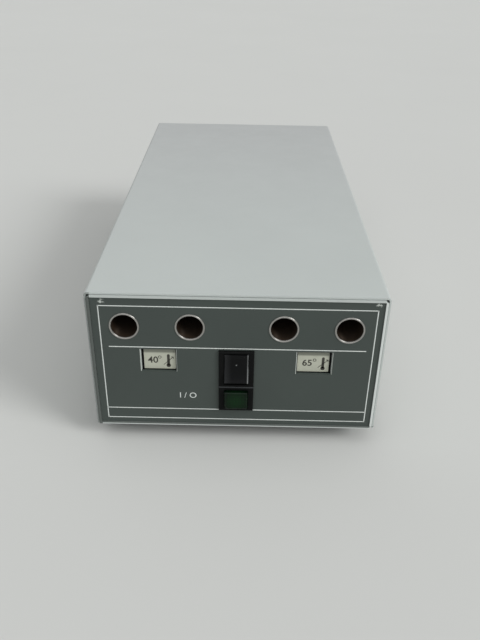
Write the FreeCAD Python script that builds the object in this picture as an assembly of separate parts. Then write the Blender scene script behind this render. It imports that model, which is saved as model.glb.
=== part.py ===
"""Bench warmer with four horizontal wells: a dry block heater in a flat sheet-metal case.

The wells open through the front. Each pair is clamped in an aluminium block with its own cartridge
heater, thermostat and cut-out, so that one pair runs warmer than the other. Millimetres. Seen from the
front, +X is right, +Y runs from the front to the back and +Z is up. The origin is on the bench, under
the middle of the whole object.
"""
import FreeCAD, Part
import math
import os

V = FreeCAD.Vector
X_AXIS = V(1, 0, 0)
Y_AXIS = V(0, 1, 0)
Z_AXIS = V(0, 0, 1)
SIDES = {"left": -1, "right": 1}
OVER = 1.0                  # how far a cutter runs past the face that it opens
FIT = 0.05                  # radial clearance of pieces that sit in each other
SEAT = 0.2                  # clearance round a piece in its pocket
NEAR = 1e-4                 # coordinates closer than this are the same

# Wells
WELL_BORE = 18.0            # inside diameter
WELL_WALL = 1.2             # wall of the tube
WELL_DEPTH = 320.0          # length of the tube, which a cap closes at the rear
WELL_PROUD = 0.6            # mouth in front of the fascia
WELL_MOUTH_R = 0.35         # rounding of the mouth
WELL_INNER_X = 31.8         # inner wells from the middle
WELL_PITCH = 44.4           # between the two wells of a pair
WELL_SIDE = 25.1            # outer well to the side of the case
WELL_RISE = 83.6            # axis above the lower edge of the case
CAP_T = 1.5                 # wall and floor of the cap
CAP_LAP = 6.5               # cap over the end of the tube

# Heater blocks
BLOCK_L = 250.0
BLOCK_HALF_H = 16.0         # each half, from the well axis
BLOCK_EDGE = 10.0           # metal outside the outer wells, for the clamp bolts
BLOCK_SPLIT = 1.0           # gap between the halves
BLOCK_START = 40.0          # front end, behind the front frame
BOLT_D = 5.0
BOLT_HEAD_D = 8.5
BOLT_HEAD_H = 5.0
BOLT_GRIP = 11.0            # thread in the lower half
BOLT_INSET = 20.0           # end bolts from the block ends
BOLTS_IN_ROW = 3
CARTRIDGE_D = 10.0
CARTRIDGE_L = 220.0
CARTRIDGE_DROP = 8.5        # cartridge axis below the well axis
CARTRIDGE_TAIL_D = 6.0
CARTRIDGE_TAIL_L = 14.0
SENSOR_D = 12.0             # thermostat and cut-out bodies
SENSOR_H = 7.0
SENSOR_FLANGE_D = 15.0
SENSOR_FLANGE_T = 1.2
SENSOR_TAB = 6.0            # terminal tab beyond the body
SENSOR_TAB_W = 5.0
SENSOR_TAB_T = 0.8
THERMOSTAT_Y = 70.0         # behind the front end of the block
CUTOUT_Y = 150.0
BOARD_T = 5.0               # insulation board
ROOF_GAP = 3.0              # upper board to hood

# Block supports
SUPPORT_T = 2.0
SUPPORT_DEPTH = 26.0
SUPPORT_INSET = 8.0         # leg inside the outer side of the block
SUPPORT_TOE = 14.0
SUPPORT_END = 45.0          # support middle from the block end
RIVET_D = 3.2
RIVET_HEAD_D = 6.0
RIVET_HEAD_H = 1.2
RIVET_PITCH = 14.0
BLOCK_SCREW_D = 4.0
BLOCK_SCREW_HEAD_D = 7.5
BLOCK_SCREW_HEAD_H = 2.8
BLOCK_SCREW_GRIP = 6.0
BLOCK_SCREW_X = 11.0        # each side of the middle of the block

# Case
HOOD_T = 1.2
HOOD_BEND_R = 2.4           # outside of the bend
FRAME_T = 1.6               # front and rear frames
FRAME_BEND_R = 1.6
FRAME_PROUD = 0.8           # frame edges beyond the hood
CREVICE = 0.4               # between hood and frames
NOTCH_R = 1.9               # relief at the frame corners
REAR_FLANGE = 6.0           # rear frame flange beyond its plate
REAR_ROOM = 96.7            # well caps to rear frame
FASCIA_T = 2.0
FASCIA_RECESS = 0.7         # fascia behind the frame edge
BASE_T = 1.5
BASE_SIDE_H = 20.0          # side flanges of the base plate
BASE_END_H = 13.0           # front and rear flanges
BASE_RELIEF = 3.0           # gap between flanges at the corners
SCREW_D = 3.0               # countersunk case screws
SCREW_L = 7.0
SCREW_LAND = 0.2            # sheet left under a countersunk head
SCREW_SLOT_W = 0.8
SCREW_SLOT_DEPTH = 0.5
HOOD_SCREW_INSET = 30.0
HOOD_SCREWS_IN_ROW = 3
END_SCREW_SIDE = 28.4       # outer screws of the frames from their sides

# Feet
FOOT_H = 15.0
FOOT_TOP_D = 24.0
FOOT_SOLE_D = 19.0
FOOT_WELL_D = 10.0          # counterbore in the sole
FOOT_WELL_H = 7.0
FOOT_SOLE_R = 1.0
FOOT_IN_X = 24.0            # from the side of the base plate
FOOT_IN_Y = 38.0            # from its ends
FOOT_SCREW_D = 4.0
FOOT_SCREW_HEAD_D = 7.5
FOOT_SCREW_HEAD_H = 2.8
FOOT_NUT_AF = 7.0
FOOT_NUT_H = 3.2
FOOT_SCREW_END = 1.5        # thread beyond the nut

# Legend windows
ROW_TOP = 65.7              # upper edge of windows and switch, above the lower edge of the case
WINDOW_W = 25.5
WINDOW_H = 18.4
WINDOW_CHAMFER = 0.5        # bevel of its upright edges
LEGEND_W = 22.0
LEGEND_H = 16.8
LEGEND_T = 2.0
LEGEND_RECESS = 2.2         # legend face behind the fascia face
LEGEND_LEDGE = 1.5          # seat behind the rim of the legend
LEGEND_SHIFT = 0.6          # legends towards the middle of the case, within their windows
HOUSING_WALL = 1.4          # legend housing
HOUSING_FLANGE = 2.5
HOUSING_FLANGE_T = 1.5
HOUSING_DEPTH = 24.0        # behind the front frame
LAMP_BASE_D = 8.0
LAMP_BASE_L = 12.0
LAMP_TAIL = 6.0             # base outside its housing
LAMP_BULB_D = 6.0
LAMP_BULB_L = 8.0

# Mains switch and pilot light
BEZEL_W = 24.6
BEZEL_PROUD = 2.0
BEZEL_R = 0.7               # rounding of the bezel edges
BEZEL_LAP = 0.8             # bezel over the ends of its cut-out
BEZEL_GAP = 0.3             # between the two bezels
BODY_W = 21.0               # switch and pilot bodies
SWITCH_H = 29.2
SWITCH_DEPTH = 26.0         # body behind the fascia face
SWITCH_CAVITY = 20.0
ROCKER_W = 16.8
ROCKER_R = 12.6             # rocker ends turn on this radius
ROCKER_END = 7.0            # rocker edges in front of the pivot
ROCKER_DIP = 5.0            # middle of the face in front of the pivot
ROCKER_GAP = 0.35
ROCKER_EDGE_R = 0.6
ROCKER_TILT = 10.0          # each way from the middle
ROCKER_SKIRT_ANGLE = 4.0    # the end faces run this far behind the pivot
ROCKER_HUB_Z = 4.5
ROCKER_HUB_DEPTH = 4.5
STEM_H = 5.2
STEM_DEPTH = 8.5            # stem end behind the pivot
PIVOT_DEPTH = 3.0           # behind the fascia face
PIVOT_D = 3.0
PIVOT_L = 1.5               # pivot pin in the housing wall
PLUNGER_D = 2.8
PLUNGER_L = 7.0
PLUNGER_TIP = 10.8          # plunger tip behind the pivot
BRIDGE_H = 16.0
BRIDGE_W = 5.0
BRIDGE_T = 0.8
BRIDGE_RIB_D = 1.6          # round rib that the bridge rocks on
BRIDGE_GAP = 0.7            # plunger tip to bridge, with the rocker level
BRIDGE_TILT = 6.0
CONTACT_Z = 6.5             # outer contacts from the middle
CONTACT_GAP = 0.3           # a closed contact's clearance
BLADE_W = 6.0
BLADE_T = 0.8
BLADE_TAIL = 8.0            # blade behind its housing
PILOT_H = 20.9
PILOT_DEPTH = 24.0
PILOT_WALL = 3.0            # rear wall
LENS_W = 16.6
LENS_H = 14.8
LENS_PROUD = 5.0            # in front of the fascia face
LENS_SKIRT = 4.0            # behind the fascia face
LENS_WALL = 1.5
LENS_R = 1.6
LENS_LEDGE = 1.2            # seat behind the lens skirt

# Mains inlet at the rear
INLET_SIDE = 46.4           # middle of the inlet from the side of the rear frame
INLET_RISE = 38.0
INLET_FLANGE_W = 50.0
INLET_FLANGE_H = 34.0
INLET_FLANGE_T = 3.0
INLET_FLANGE_R = 3.0
INLET_BODY_W = 28.0
INLET_BODY_H = 31.0
INLET_BODY_DEPTH = 24.0
INLET_SCREW_X = 20.0
SOCKET_W = 24.4
SOCKET_H = 17.0
SOCKET_DEPTH = 17.0
SOCKET_CHAMFER = 4.5
SOCKET_TOP = 2.0            # socket below the top of the body
PIN_T = 2.0
PIN_H = 4.0
PIN_X = 7.0                 # outer pins from the middle
PIN_Z = 2.0                 # pins above and below the middle of the socket
PIN_RECESS = 4.0            # pin ends inside the socket mouth
PIN_TAIL = 9.0
DRAWER_W = 24.4
DRAWER_H = 7.0
DRAWER_L = 19.0
DRAWER_GAP = 0.3
DRAWER_UP = 2.0             # drawer above the bottom of the body
DRAWER_LIP_T = 1.5          # front of the drawer outside the flange
DRAWER_GRIP_R = 3.0         # finger notch
FUSE_D = 5.0
FUSE_L = 20.0
FUSE_Y = 5.5                # first fuse behind the drawer front
FUSE_PITCH = 7.5
FUSES = 2

# Terminal strip and wiring
STRIP_POLES = 6
STRIP_PITCH = 8.0
STRIP_END = 8.0             # strip beyond its outer poles
STRIP_DEPTH = 16.0
STRIP_H = 14.0
STRIP_Y = 70.0              # middle of the strip in front of the rear frame
STRIP_ROOM = 30.0           # least room for wires, from the cartridge tails to the strip
STRIP_SCREW_D = 4.0
STRIP_SCREW_DEPTH = 5.0
STRIP_FIX_IN = 3.5          # fixing screws from the strip's ends
STRIP_FIX_HEAD_D = 6.0
STRIP_FIX_HEAD_H = 1.5
WIRE_D = 2.0
WIRE_RISE = 6.0             # wire entries and floor runs above the base plate
WIRE_OUT = 15.0             # run out of a terminal before the first bend
WIRE_STEP = 4.0             # between wires that cross over each other
WIRE_ARC = 0.45             # share of the shorter run that a bend takes
BLADE_WIRE_X = 2.0          # wires on the switch blades, from the middle
LAMP_WIRE_X = 2.5           # wires on the end of the pilot lamp
LAMP_WIRE_Z = 2.0
CLIP_W = 14.0
CLIP_DEPTH = 8.0
CLIP_H = 9.0
CLIPS = 3

# Derived sizes
TUBE_D = WELL_BORE + 2 * WELL_WALL
CAP_D = TUBE_D + 2 * (FIT + CAP_T)
BLOCK_X = WELL_INNER_X + WELL_PITCH / 2
LEGEND_X = BLOCK_X - LEGEND_SHIFT
BLOCK_W = WELL_PITCH + TUBE_D + 2 * BLOCK_EDGE
CASE_W = 2 * (WELL_INNER_X + WELL_PITCH + WELL_SIDE)
CASE_H = WELL_RISE + BLOCK_HALF_H + BOARD_T + ROOF_GAP + HOOD_T
ROCKER_CORNER = math.degrees(math.asin(ROCKER_END / ROCKER_R))
ROCKER_REACH = ROCKER_R * math.sin(math.radians(ROCKER_CORNER + ROCKER_TILT)) - PIVOT_DEPTH
FRONT_REACH = max(LENS_PROUD, ROCKER_REACH)
WELL_END = WELL_DEPTH + SEAT + CAP_T - WELL_PROUD
HEATER_END = FASCIA_T + FRAME_T + BLOCK_START + BLOCK_L + CARTRIDGE_TAIL_L
INSIDE_L = max(WELL_END + REAR_ROOM, HEATER_END + STRIP_ROOM + STRIP_DEPTH / 2 + STRIP_Y)
BODY_L = INSIDE_L + FRAME_T + REAR_FLANGE
SWITCH_BODY_H = SWITCH_H - 2 * BEZEL_LAP
PILOT_BODY_H = PILOT_H - 2 * BEZEL_LAP
NOSE_W = LEGEND_W + 2 * (SEAT + HOUSING_WALL)
NOSE_H = LEGEND_H + 2 * (SEAT + HOUSING_WALL)
STRIP_W = STRIP_PITCH * (STRIP_POLES - 1) + 2 * STRIP_END
SENSOR_X = BLOCK_X - BLOCK_W / 2 - SENSOR_FLANGE_T - SENSOR_H + SENSOR_TAB_T / 2

# Planes from front to back
Y_FASCIA = (FRONT_REACH - BODY_L) / 2
Y_FRONT = Y_FASCIA - FASCIA_RECESS
Y_PLATE = Y_FASCIA + FASCIA_T
Y_FRAME_IN = Y_PLATE + FRAME_T
Y_MOUTH = Y_FASCIA - WELL_PROUD
Y_CAP = Y_MOUTH + WELL_DEPTH - CAP_LAP
Y_BLOCK0 = Y_FRAME_IN + BLOCK_START
Y_BLOCK1 = Y_BLOCK0 + BLOCK_L
Y_REAR = Y_FASCIA + BODY_L
Y_BACK = Y_REAR - REAR_FLANGE
Y_BACK_IN = Y_BACK - FRAME_T
Y_PIVOT = Y_FASCIA + PIVOT_DEPTH
Y_BRIDGE = Y_PIVOT + PLUNGER_TIP + BRIDGE_GAP + BRIDGE_T / 2
Y_STRIP = Y_BACK_IN - STRIP_Y
Y_STRIP_FRONT = Y_STRIP - STRIP_DEPTH / 2
SUPPORT_YS = (Y_BLOCK0 + SUPPORT_END, Y_BLOCK1 - SUPPORT_END)

# Planes from the bench up
Z_BASE = FOOT_H
Z_FLOOR = Z_BASE + BASE_T
Z_WIRE = Z_FLOOR + WIRE_RISE
Z_TOP = Z_BASE + CASE_H
Z_FRAME_TOP = Z_TOP - HOOD_T - CREVICE
Z_WELL = Z_BASE + WELL_RISE
Z_ROW = Z_BASE + ROW_TOP
Z_LEGEND = Z_ROW - WINDOW_H / 2
Z_SWITCH = Z_ROW - SWITCH_H / 2
Z_PILOT = Z_ROW - SWITCH_H - BEZEL_GAP - PILOT_H / 2
Z_BOARD = Z_WELL - BLOCK_HALF_H - BOARD_T
Z_INLET = Z_BASE + INLET_RISE
Z_SOCKET = Z_INLET + INLET_BODY_H / 2 - SOCKET_TOP - SOCKET_H / 2
Z_DRAWER = Z_INLET - INLET_BODY_H / 2 + DRAWER_UP + DRAWER_H / 2
Z_SENSOR = Z_WELL + (BLOCK_SPLIT / 2 + BLOCK_HALF_H) / 2

# Half widths and places across the case
FRAME_X = CASE_W / 2 - HOOD_T - CREVICE
INLET_X = FRAME_X - INLET_SIDE
END_SCREW_X = FRAME_X - END_SCREW_SIDE
SUPPORT_X = BLOCK_X + BLOCK_W / 2 - SUPPORT_INSET
WELL_XS = [
    side * (WELL_INNER_X + step * WELL_PITCH) for side, step in ((-1, 1), (-1, 0), (1, 0), (1, 1))
]


def span(middle, length):
    """Limits of a length about its middle."""
    return middle - length / 2, middle + length / 2


def block(x, y, z):
    """A box between limits along each axis."""
    return Part.makeBox(x[1] - x[0], y[1] - y[0], z[1] - z[0], V(x[0], y[0], z[0]))


def rod(axis, start, length, diameter):
    """A cylinder from a point along an axis."""
    return Part.makeCylinder(diameter / 2, length, V(*start), axis)


def drill(axis, mouth, depth, diameter):
    """The cutter of a round hole, from outside its mouth in to a depth, with clearance."""
    return rod(axis, V(*mouth) - axis * OVER, depth + OVER, diameter + 2 * FIT)


def straight_edges(shape, axis, **at):
    """Straight edges along an axis, at the coordinates given by name."""
    found = []
    for edge in shape.Edges:
        if edge.Curve.TypeId != "Part::GeomLine":
            continue
        ends = [vertex.Point for vertex in edge.Vertexes]
        along = abs(abs(edge.tangentAt(edge.FirstParameter).dot(axis)) - 1) < NEAR
        if along and all(abs(getattr(end, name) - at[name]) < NEAR for end in ends for name in at):
            found.append(edge)
    return found


def face_edges(shape, **at):
    """All edges that lie in the plane given by one coordinate, such as y=3."""
    (name, value), = at.items()
    found = []
    for edge in shape.Edges:
        limits = [getattr(edge.BoundBox, name.upper() + end) for end in ("Min", "Max")]
        if all(abs(limit - value) < NEAR for limit in limits):
            found.append(edge)
    return found


def even_places(start, end, count):
    """Places spread evenly from start to end."""
    return [start + (end - start) * index / (count - 1) for index in range(count)]


def countersunk(point, axis, sheet, length, slack):
    """A countersunk head and shank, flush at a point, wider by the slack."""
    depth = sheet - SCREW_LAND
    radius = SCREW_D / 2 + slack
    head = Part.makeCone(radius + depth, radius, depth, point, axis)
    return head.fuse(Part.makeCylinder(radius, length, point, axis))


def countersunk_screw(point, axis, sheet):
    """A slotted countersunk screw that holds a sheet."""
    screw = countersunk(point, axis, sheet, SCREW_L, 0)
    head_d = SCREW_D + 2 * sheet
    slot = block(span(0, 2 * SCREW_SLOT_DEPTH), span(0, SCREW_SLOT_W), span(0, head_d))
    slot.Placement = FreeCAD.Placement(point, FreeCAD.Rotation(X_AXIS, axis))
    return screw.cut(slot)


def countersunk_hole(point, axis, sheet):
    """The hole of a countersunk screw, through a sheet and what lies close behind it."""
    return countersunk(point, axis, sheet, SCREW_L + OVER, FIT)


def screw_up(x, y, z, length, diameter, head_d, head_h):
    """A cheese-head screw that points up, with the underside of its head at z."""
    head = rod(Z_AXIS, (x, y, z - head_h), head_h, head_d)
    slot = block(span(x, SCREW_SLOT_W), span(y, head_d), (z - head_h, z - head_h + SCREW_SLOT_DEPTH))
    return head.cut(slot).fuse(rod(Z_AXIS, (x, y, z), length, diameter))


def hex_prism(x, y, z, flats, height):
    """An upright hexagonal prism."""
    sides = 6
    radius = flats / math.sqrt(3)
    turns = [2 * math.pi * corner / sides for corner in range(sides + 1)]
    corners = [V(x + radius * math.cos(turn), y + radius * math.sin(turn), z) for turn in turns]
    return Part.Face(Part.makePolygon(corners)).extrude(Z_AXIS * height)


def hood_screw_places():
    """Points on the hood's sides and the way in from each."""
    z = Z_FLOOR + (BASE_SIDE_H - BASE_T) / 2
    ys = even_places(Y_FRAME_IN + HOOD_SCREW_INSET, Y_BACK_IN - HOOD_SCREW_INSET, HOOD_SCREWS_IN_ROW)
    return [(V(side * CASE_W / 2, y, z), X_AXIS * -side) for side in SIDES.values() for y in ys]


def end_screw_places():
    """Points on the outside of the frame plates and the way in from each."""
    z = Z_FLOOR + (BASE_END_H - BASE_T) / 2
    xs = (-END_SCREW_X, 0, END_SCREW_X)
    front = [(V(x, Y_PLATE, z), Y_AXIS) for x in xs]
    return front + [(V(x, Y_BACK, z), -Y_AXIS) for x in xs]


def foot_places():
    """Names and middles of the four feet."""
    ends = {"front": Y_FRAME_IN + FOOT_IN_Y, "rear": Y_BACK_IN - FOOT_IN_Y}
    return {
        f"foot_{end}_{name}": (side * (FRAME_X - FOOT_IN_X), y)
        for end, y in ends.items() for name, side in SIDES.items()
    }


def rivet_places():
    """Rivets in the toes of the supports."""
    x = SUPPORT_X - SUPPORT_TOE / 2
    return [
        (side * x, y + offset)
        for side in SIDES.values() for y in SUPPORT_YS for offset in span(0, RIVET_PITCH)
    ]


def block_screw_places():
    """Screws that hold the blocks to the supports."""
    return [
        (side * BLOCK_X + offset, y)
        for side in SIDES.values() for y in SUPPORT_YS for offset in (-BLOCK_SCREW_X, BLOCK_SCREW_X)
    ]


def bolt_places(side):
    """Clamp bolts of one pair of block halves."""
    reach = BLOCK_W / 2 - BLOCK_EDGE / 2
    ys = even_places(Y_BLOCK0 + BOLT_INSET, Y_BLOCK1 - BOLT_INSET, BOLTS_IN_ROW)
    return [(side * BLOCK_X + offset, y) for offset in (-reach, reach) for y in ys]


# Case

def make_hood():
    """U-shaped sheet: top and both sides, open at the front, rear and bottom."""
    length = (Y_FRONT + FRAME_PROUD, Y_REAR - FRAME_PROUD)
    outer = block(span(0, CASE_W), length, (Z_BASE, Z_TOP))
    outer = outer.makeFillet(HOOD_BEND_R, straight_edges(outer, Y_AXIS, z=Z_TOP))
    inner_top = Z_TOP - HOOD_T
    inner = block(
        span(0, CASE_W - 2 * HOOD_T), (length[0] - OVER, length[1] + OVER), (Z_BASE - OVER, inner_top)
    )
    inner = inner.makeFillet(HOOD_BEND_R - HOOD_T, straight_edges(inner, Y_AXIS, z=inner_top))
    holes = [countersunk_hole(point, axis, HOOD_T) for point, axis in hood_screw_places()]
    return outer.cut([inner] + holes)


def make_frame(inside, edge):
    """Folded frame: a plate with four flanges turned out towards the edge, relieved at the corners."""
    outward = math.copysign(1, edge - inside)
    depth = sorted((inside, edge))
    tray = block(span(0, 2 * FRAME_X), depth, (Z_BASE, Z_FRAME_TOP))
    bends = straight_edges(tray, X_AXIS, y=inside) + straight_edges(tray, Z_AXIS, y=inside)
    tray = tray.makeFillet(FRAME_BEND_R, bends)
    pocket = block(
        span(0, 2 * (FRAME_X - FRAME_T)),
        sorted((inside + outward * FRAME_T, edge + outward * OVER)),
        (Z_BASE + FRAME_T, Z_FRAME_TOP - FRAME_T),
    )
    notches = [
        rod(Y_AXIS, (side * FRAME_X, depth[0] - OVER, z), depth[1] - depth[0] + 2 * OVER, 2 * NOTCH_R)
        for side in SIDES.values() for z in (Z_BASE, Z_FRAME_TOP)
    ]
    screws = [countersunk_hole(point, axis, FRAME_T) for point, axis in end_screw_places()]
    return tray.cut([pocket] + notches + screws)


def well_cutters():
    """Holes for the well tubes through the fascia and the front frame."""
    depth = Y_FRAME_IN - Y_FASCIA + OVER
    return [drill(Y_AXIS, (x, Y_FASCIA, Z_WELL), depth, TUBE_D) for x in WELL_XS]


def switch_cutters():
    """Cut-outs for the switch and pilot bodies through the fascia and the front frame."""
    depth = (Y_FASCIA - OVER, Y_FRAME_IN + OVER)
    width = span(0, BODY_W + 2 * FIT)
    return [
        block(width, depth, span(Z_SWITCH, SWITCH_BODY_H + 2 * FIT)),
        block(width, depth, span(Z_PILOT, PILOT_BODY_H + 2 * FIT)),
    ]


def window_cutter(side):
    """A legend window through the fascia, with bevelled upright edges."""
    inside = Y_FASCIA + WINDOW_CHAMFER
    height = span(Z_LEGEND, WINDOW_H)
    mouth = block(span(side * BLOCK_X, WINDOW_W), (Y_FASCIA - OVER, inside), height)
    mouth = mouth.makeChamfer(WINDOW_CHAMFER, straight_edges(mouth, Z_AXIS, y=inside))
    throat = span(side * BLOCK_X, WINDOW_W - 2 * WINDOW_CHAMFER)
    return mouth.fuse(block(throat, (Y_FASCIA - OVER, Y_PLATE + OVER), height))


def make_front_frame():
    """Front frame with holes for the wells, legend housings, switch and pilot."""
    noses = [
        block(
            span(side * LEGEND_X, NOSE_W + 2 * FIT), (Y_PLATE - OVER, Y_FRAME_IN + OVER),
            span(Z_LEGEND, NOSE_H + 2 * FIT),
        )
        for side in SIDES.values()
    ]
    return make_frame(Y_FRAME_IN, Y_FRONT).cut(well_cutters() + switch_cutters() + noses)


def make_fascia():
    """Printed front plate, set into the front frame."""
    plate = block(
        span(0, 2 * (FRAME_X - FRAME_T - SEAT)), (Y_FASCIA, Y_PLATE),
        (Z_BASE + FRAME_T + SEAT, Z_FRAME_TOP - FRAME_T - SEAT),
    )
    windows = [window_cutter(side) for side in SIDES.values()]
    return plate.cut(well_cutters() + switch_cutters() + windows)


def make_rear_frame():
    """Rear frame with the inlet's cut-out and its screw holes."""
    cutout = block(
        span(INLET_X, INLET_BODY_W + 2 * FIT), (Y_BACK_IN - OVER, Y_BACK + OVER),
        span(Z_INLET, INLET_BODY_H + 2 * FIT),
    )
    holes = [
        drill(Y_AXIS, (INLET_X + side * INLET_SCREW_X, Y_BACK_IN, Z_INLET), FRAME_T + OVER, SCREW_D)
        for side in SIDES.values()
    ]
    return make_frame(Y_BACK_IN, Y_REAR).cut([cutout] + holes)


def make_base_plate():
    """Floor of the case with four upturned flanges."""
    floor = block(span(0, 2 * FRAME_X), (Y_FRAME_IN, Y_BACK_IN), (Z_BASE, Z_FLOOR))
    run = (Y_FRAME_IN + BASE_T + BASE_RELIEF, Y_BACK_IN - BASE_T - BASE_RELIEF)
    width = span(0, 2 * (FRAME_X - BASE_T - BASE_RELIEF))
    flanges = [
        block(sorted((side * (FRAME_X - BASE_T), side * FRAME_X)), run, (Z_BASE, Z_BASE + BASE_SIDE_H))
        for side in SIDES.values()
    ]
    flanges += [
        block(width, sorted((end, end + inward * BASE_T)), (Z_BASE, Z_BASE + BASE_END_H))
        for end, inward in ((Y_FRAME_IN, 1), (Y_BACK_IN, -1))
    ]
    holes = [countersunk_hole(point, axis, HOOD_T) for point, axis in hood_screw_places()]
    holes += [countersunk_hole(point, axis, FRAME_T) for point, axis in end_screw_places()]
    sinks = [(x, y, FOOT_SCREW_D) for x, y in foot_places().values()]
    sinks += [(x, y, RIVET_D) for x, y in rivet_places()]
    sinks += [(x, Y_STRIP, SCREW_D) for x in strip_screw_xs()]
    holes += [drill(Z_AXIS, (x, y, Z_BASE), BASE_T + OVER, diameter) for x, y, diameter in sinks]
    return floor.fuse(flanges).cut(holes).removeSplitter()


def make_hood_screws():
    """Screws along the lower edges of the hood."""
    return Part.makeCompound([
        countersunk_screw(point, axis, HOOD_T) for point, axis in hood_screw_places()
    ])


def make_frame_screws():
    """Screws that hold both frames to the base plate."""
    return Part.makeCompound([
        countersunk_screw(point, axis, FRAME_T) for point, axis in end_screw_places()
    ])


# Feet

def make_foot(x, y):
    """Tapered rubber foot with a counterbore for its screw."""
    body = Part.makeCone(FOOT_SOLE_D / 2, FOOT_TOP_D / 2, FOOT_H, V(x, y, 0))
    body = body.makeFillet(FOOT_SOLE_R, face_edges(body, z=0))
    well = rod(Z_AXIS, (x, y, -OVER), FOOT_WELL_H + OVER, FOOT_WELL_D)
    hole = drill(Z_AXIS, (x, y, 0), FOOT_H + OVER, FOOT_SCREW_D)
    return body.cut([well, hole])


def make_foot_screws():
    """Screws through the feet into nuts on the base plate."""
    length = FOOT_H - FOOT_WELL_H + BASE_T + FOOT_NUT_H + FOOT_SCREW_END
    return Part.makeCompound([
        screw_up(x, y, FOOT_WELL_H, length, FOOT_SCREW_D, FOOT_SCREW_HEAD_D, FOOT_SCREW_HEAD_H)
        for x, y in foot_places().values()
    ])


def make_foot_nuts():
    """Nuts of the foot screws."""
    return Part.makeCompound([
        hex_prism(x, y, Z_FLOOR, FOOT_NUT_AF, FOOT_NUT_H).cut(
            drill(Z_AXIS, (x, y, Z_FLOOR), FOOT_NUT_H + OVER, FOOT_SCREW_D)
        )
        for x, y in foot_places().values()
    ])


# Wells and heater blocks

def make_well(x):
    """Well tube with a rounded mouth."""
    tube = rod(Y_AXIS, (x, Y_MOUTH, Z_WELL), WELL_DEPTH, TUBE_D)
    tube = tube.cut(rod(Y_AXIS, (x, Y_MOUTH - OVER, Z_WELL), WELL_DEPTH + 2 * OVER, WELL_BORE))
    return tube.makeFillet(WELL_MOUTH_R, face_edges(tube, y=Y_MOUTH))


def make_caps():
    """Caps over the rear ends of the wells."""
    hollow = CAP_LAP + SEAT
    caps = []
    for x in WELL_XS:
        cap = rod(Y_AXIS, (x, Y_CAP, Z_WELL), hollow + CAP_T, CAP_D)
        caps.append(cap.cut(drill(Y_AXIS, (x, Y_CAP, Z_WELL), hollow, TUBE_D)))
    return Part.makeCompound(caps)


def tube_seats(side):
    """Room for the two tubes of a pair along the whole block, and for their caps if these reach into it."""
    seats = []
    for x in (WELL_INNER_X, WELL_INNER_X + WELL_PITCH):
        seats.append(drill(Y_AXIS, (side * x, Y_BLOCK0, Z_WELL), BLOCK_L + OVER, TUBE_D))
        seats.append(rod(Y_AXIS, (side * x, Y_CAP - SEAT, Z_WELL), BLOCK_L, CAP_D + 2 * SEAT))
    return seats


def make_upper_block(side):
    """Upper block half with counterbored bolt holes."""
    top = Z_WELL + BLOCK_HALF_H
    half = block(span(side * BLOCK_X, BLOCK_W), (Y_BLOCK0, Y_BLOCK1), (Z_WELL + BLOCK_SPLIT / 2, top))
    cutters = tube_seats(side)
    for x, y in bolt_places(side):
        cutters.append(drill(-Z_AXIS, (x, y, top), BLOCK_HALF_H, BOLT_D))
        cutters.append(drill(-Z_AXIS, (x, y, top), BOLT_HEAD_H + SEAT, BOLT_HEAD_D + SEAT))
    return half.cut(cutters)


def make_lower_block(side):
    """Lower block half with tapped holes and the cartridge bore."""
    low = Z_WELL - BLOCK_HALF_H
    high = Z_WELL - BLOCK_SPLIT / 2
    half = block(span(side * BLOCK_X, BLOCK_W), (Y_BLOCK0, Y_BLOCK1), (low, high))
    cutters = tube_seats(side)
    bore_end = (side * BLOCK_X, Y_BLOCK1, Z_WELL - CARTRIDGE_DROP)
    cutters.append(drill(-Y_AXIS, bore_end, CARTRIDGE_L + SEAT, CARTRIDGE_D))
    for x, y in bolt_places(side):
        cutters.append(drill(-Z_AXIS, (x, y, high), BOLT_GRIP + SEAT, BOLT_D))
    for x, y in block_screw_places():
        cutters.append(drill(Z_AXIS, (x, y, low), BLOCK_SCREW_GRIP + SEAT, BLOCK_SCREW_D))
    return half.cut(cutters)


def make_clamp_bolts(side):
    """Cap screws that clamp the two halves on the tubes."""
    head_z = Z_WELL + BLOCK_HALF_H - BOLT_HEAD_H - SEAT
    end_z = Z_WELL - BLOCK_SPLIT / 2 - BOLT_GRIP
    bolts = []
    for x, y in bolt_places(side):
        head = rod(Z_AXIS, (x, y, head_z), BOLT_HEAD_H, BOLT_HEAD_D)
        socket = hex_prism(x, y, head_z + BOLT_HEAD_H / 2, BOLT_HEAD_D / 2, BOLT_HEAD_H)
        bolts.append(head.cut(socket).fuse(rod(Z_AXIS, (x, y, end_z), head_z - end_z, BOLT_D)))
    return Part.makeCompound(bolts)


def make_cartridge(side):
    """Cartridge heater with a sealed tail."""
    x = side * BLOCK_X
    z = Z_WELL - CARTRIDGE_DROP
    body = rod(Y_AXIS, (x, Y_BLOCK1 - CARTRIDGE_L, z), CARTRIDGE_L, CARTRIDGE_D)
    return body.fuse(rod(Y_AXIS, (x, Y_BLOCK1, z), CARTRIDGE_TAIL_L, CARTRIDGE_TAIL_D))


def make_sensor(side, along):
    """Disc thermostat on the inner side of an upper block, with two terminal tabs."""
    face = side * (BLOCK_X - BLOCK_W / 2)
    y = Y_BLOCK0 + along
    z = Z_SENSOR
    inward = X_AXIS * -side
    height = SENSOR_FLANGE_T + SENSOR_H
    end = face - side * height
    tabs = block(
        sorted((end, end + side * SENSOR_TAB_T)), span(y, SENSOR_D + 2 * SENSOR_TAB), span(z, SENSOR_TAB_W)
    )
    body = rod(inward, (face, y, z), height, SENSOR_D)
    return body.fuse([rod(inward, (face, y, z), SENSOR_FLANGE_T, SENSOR_FLANGE_D), tabs])


def make_board(z, holes):
    """Rigid insulation board as large as both blocks."""
    board = block(span(0, 2 * BLOCK_X + BLOCK_W), (Y_BLOCK0, Y_BLOCK1), (z, z + BOARD_T))
    if not holes:
        return board
    return board.cut([drill(Z_AXIS, (x, y, z), BOARD_T + OVER, BLOCK_SCREW_D) for x, y in holes])


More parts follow.
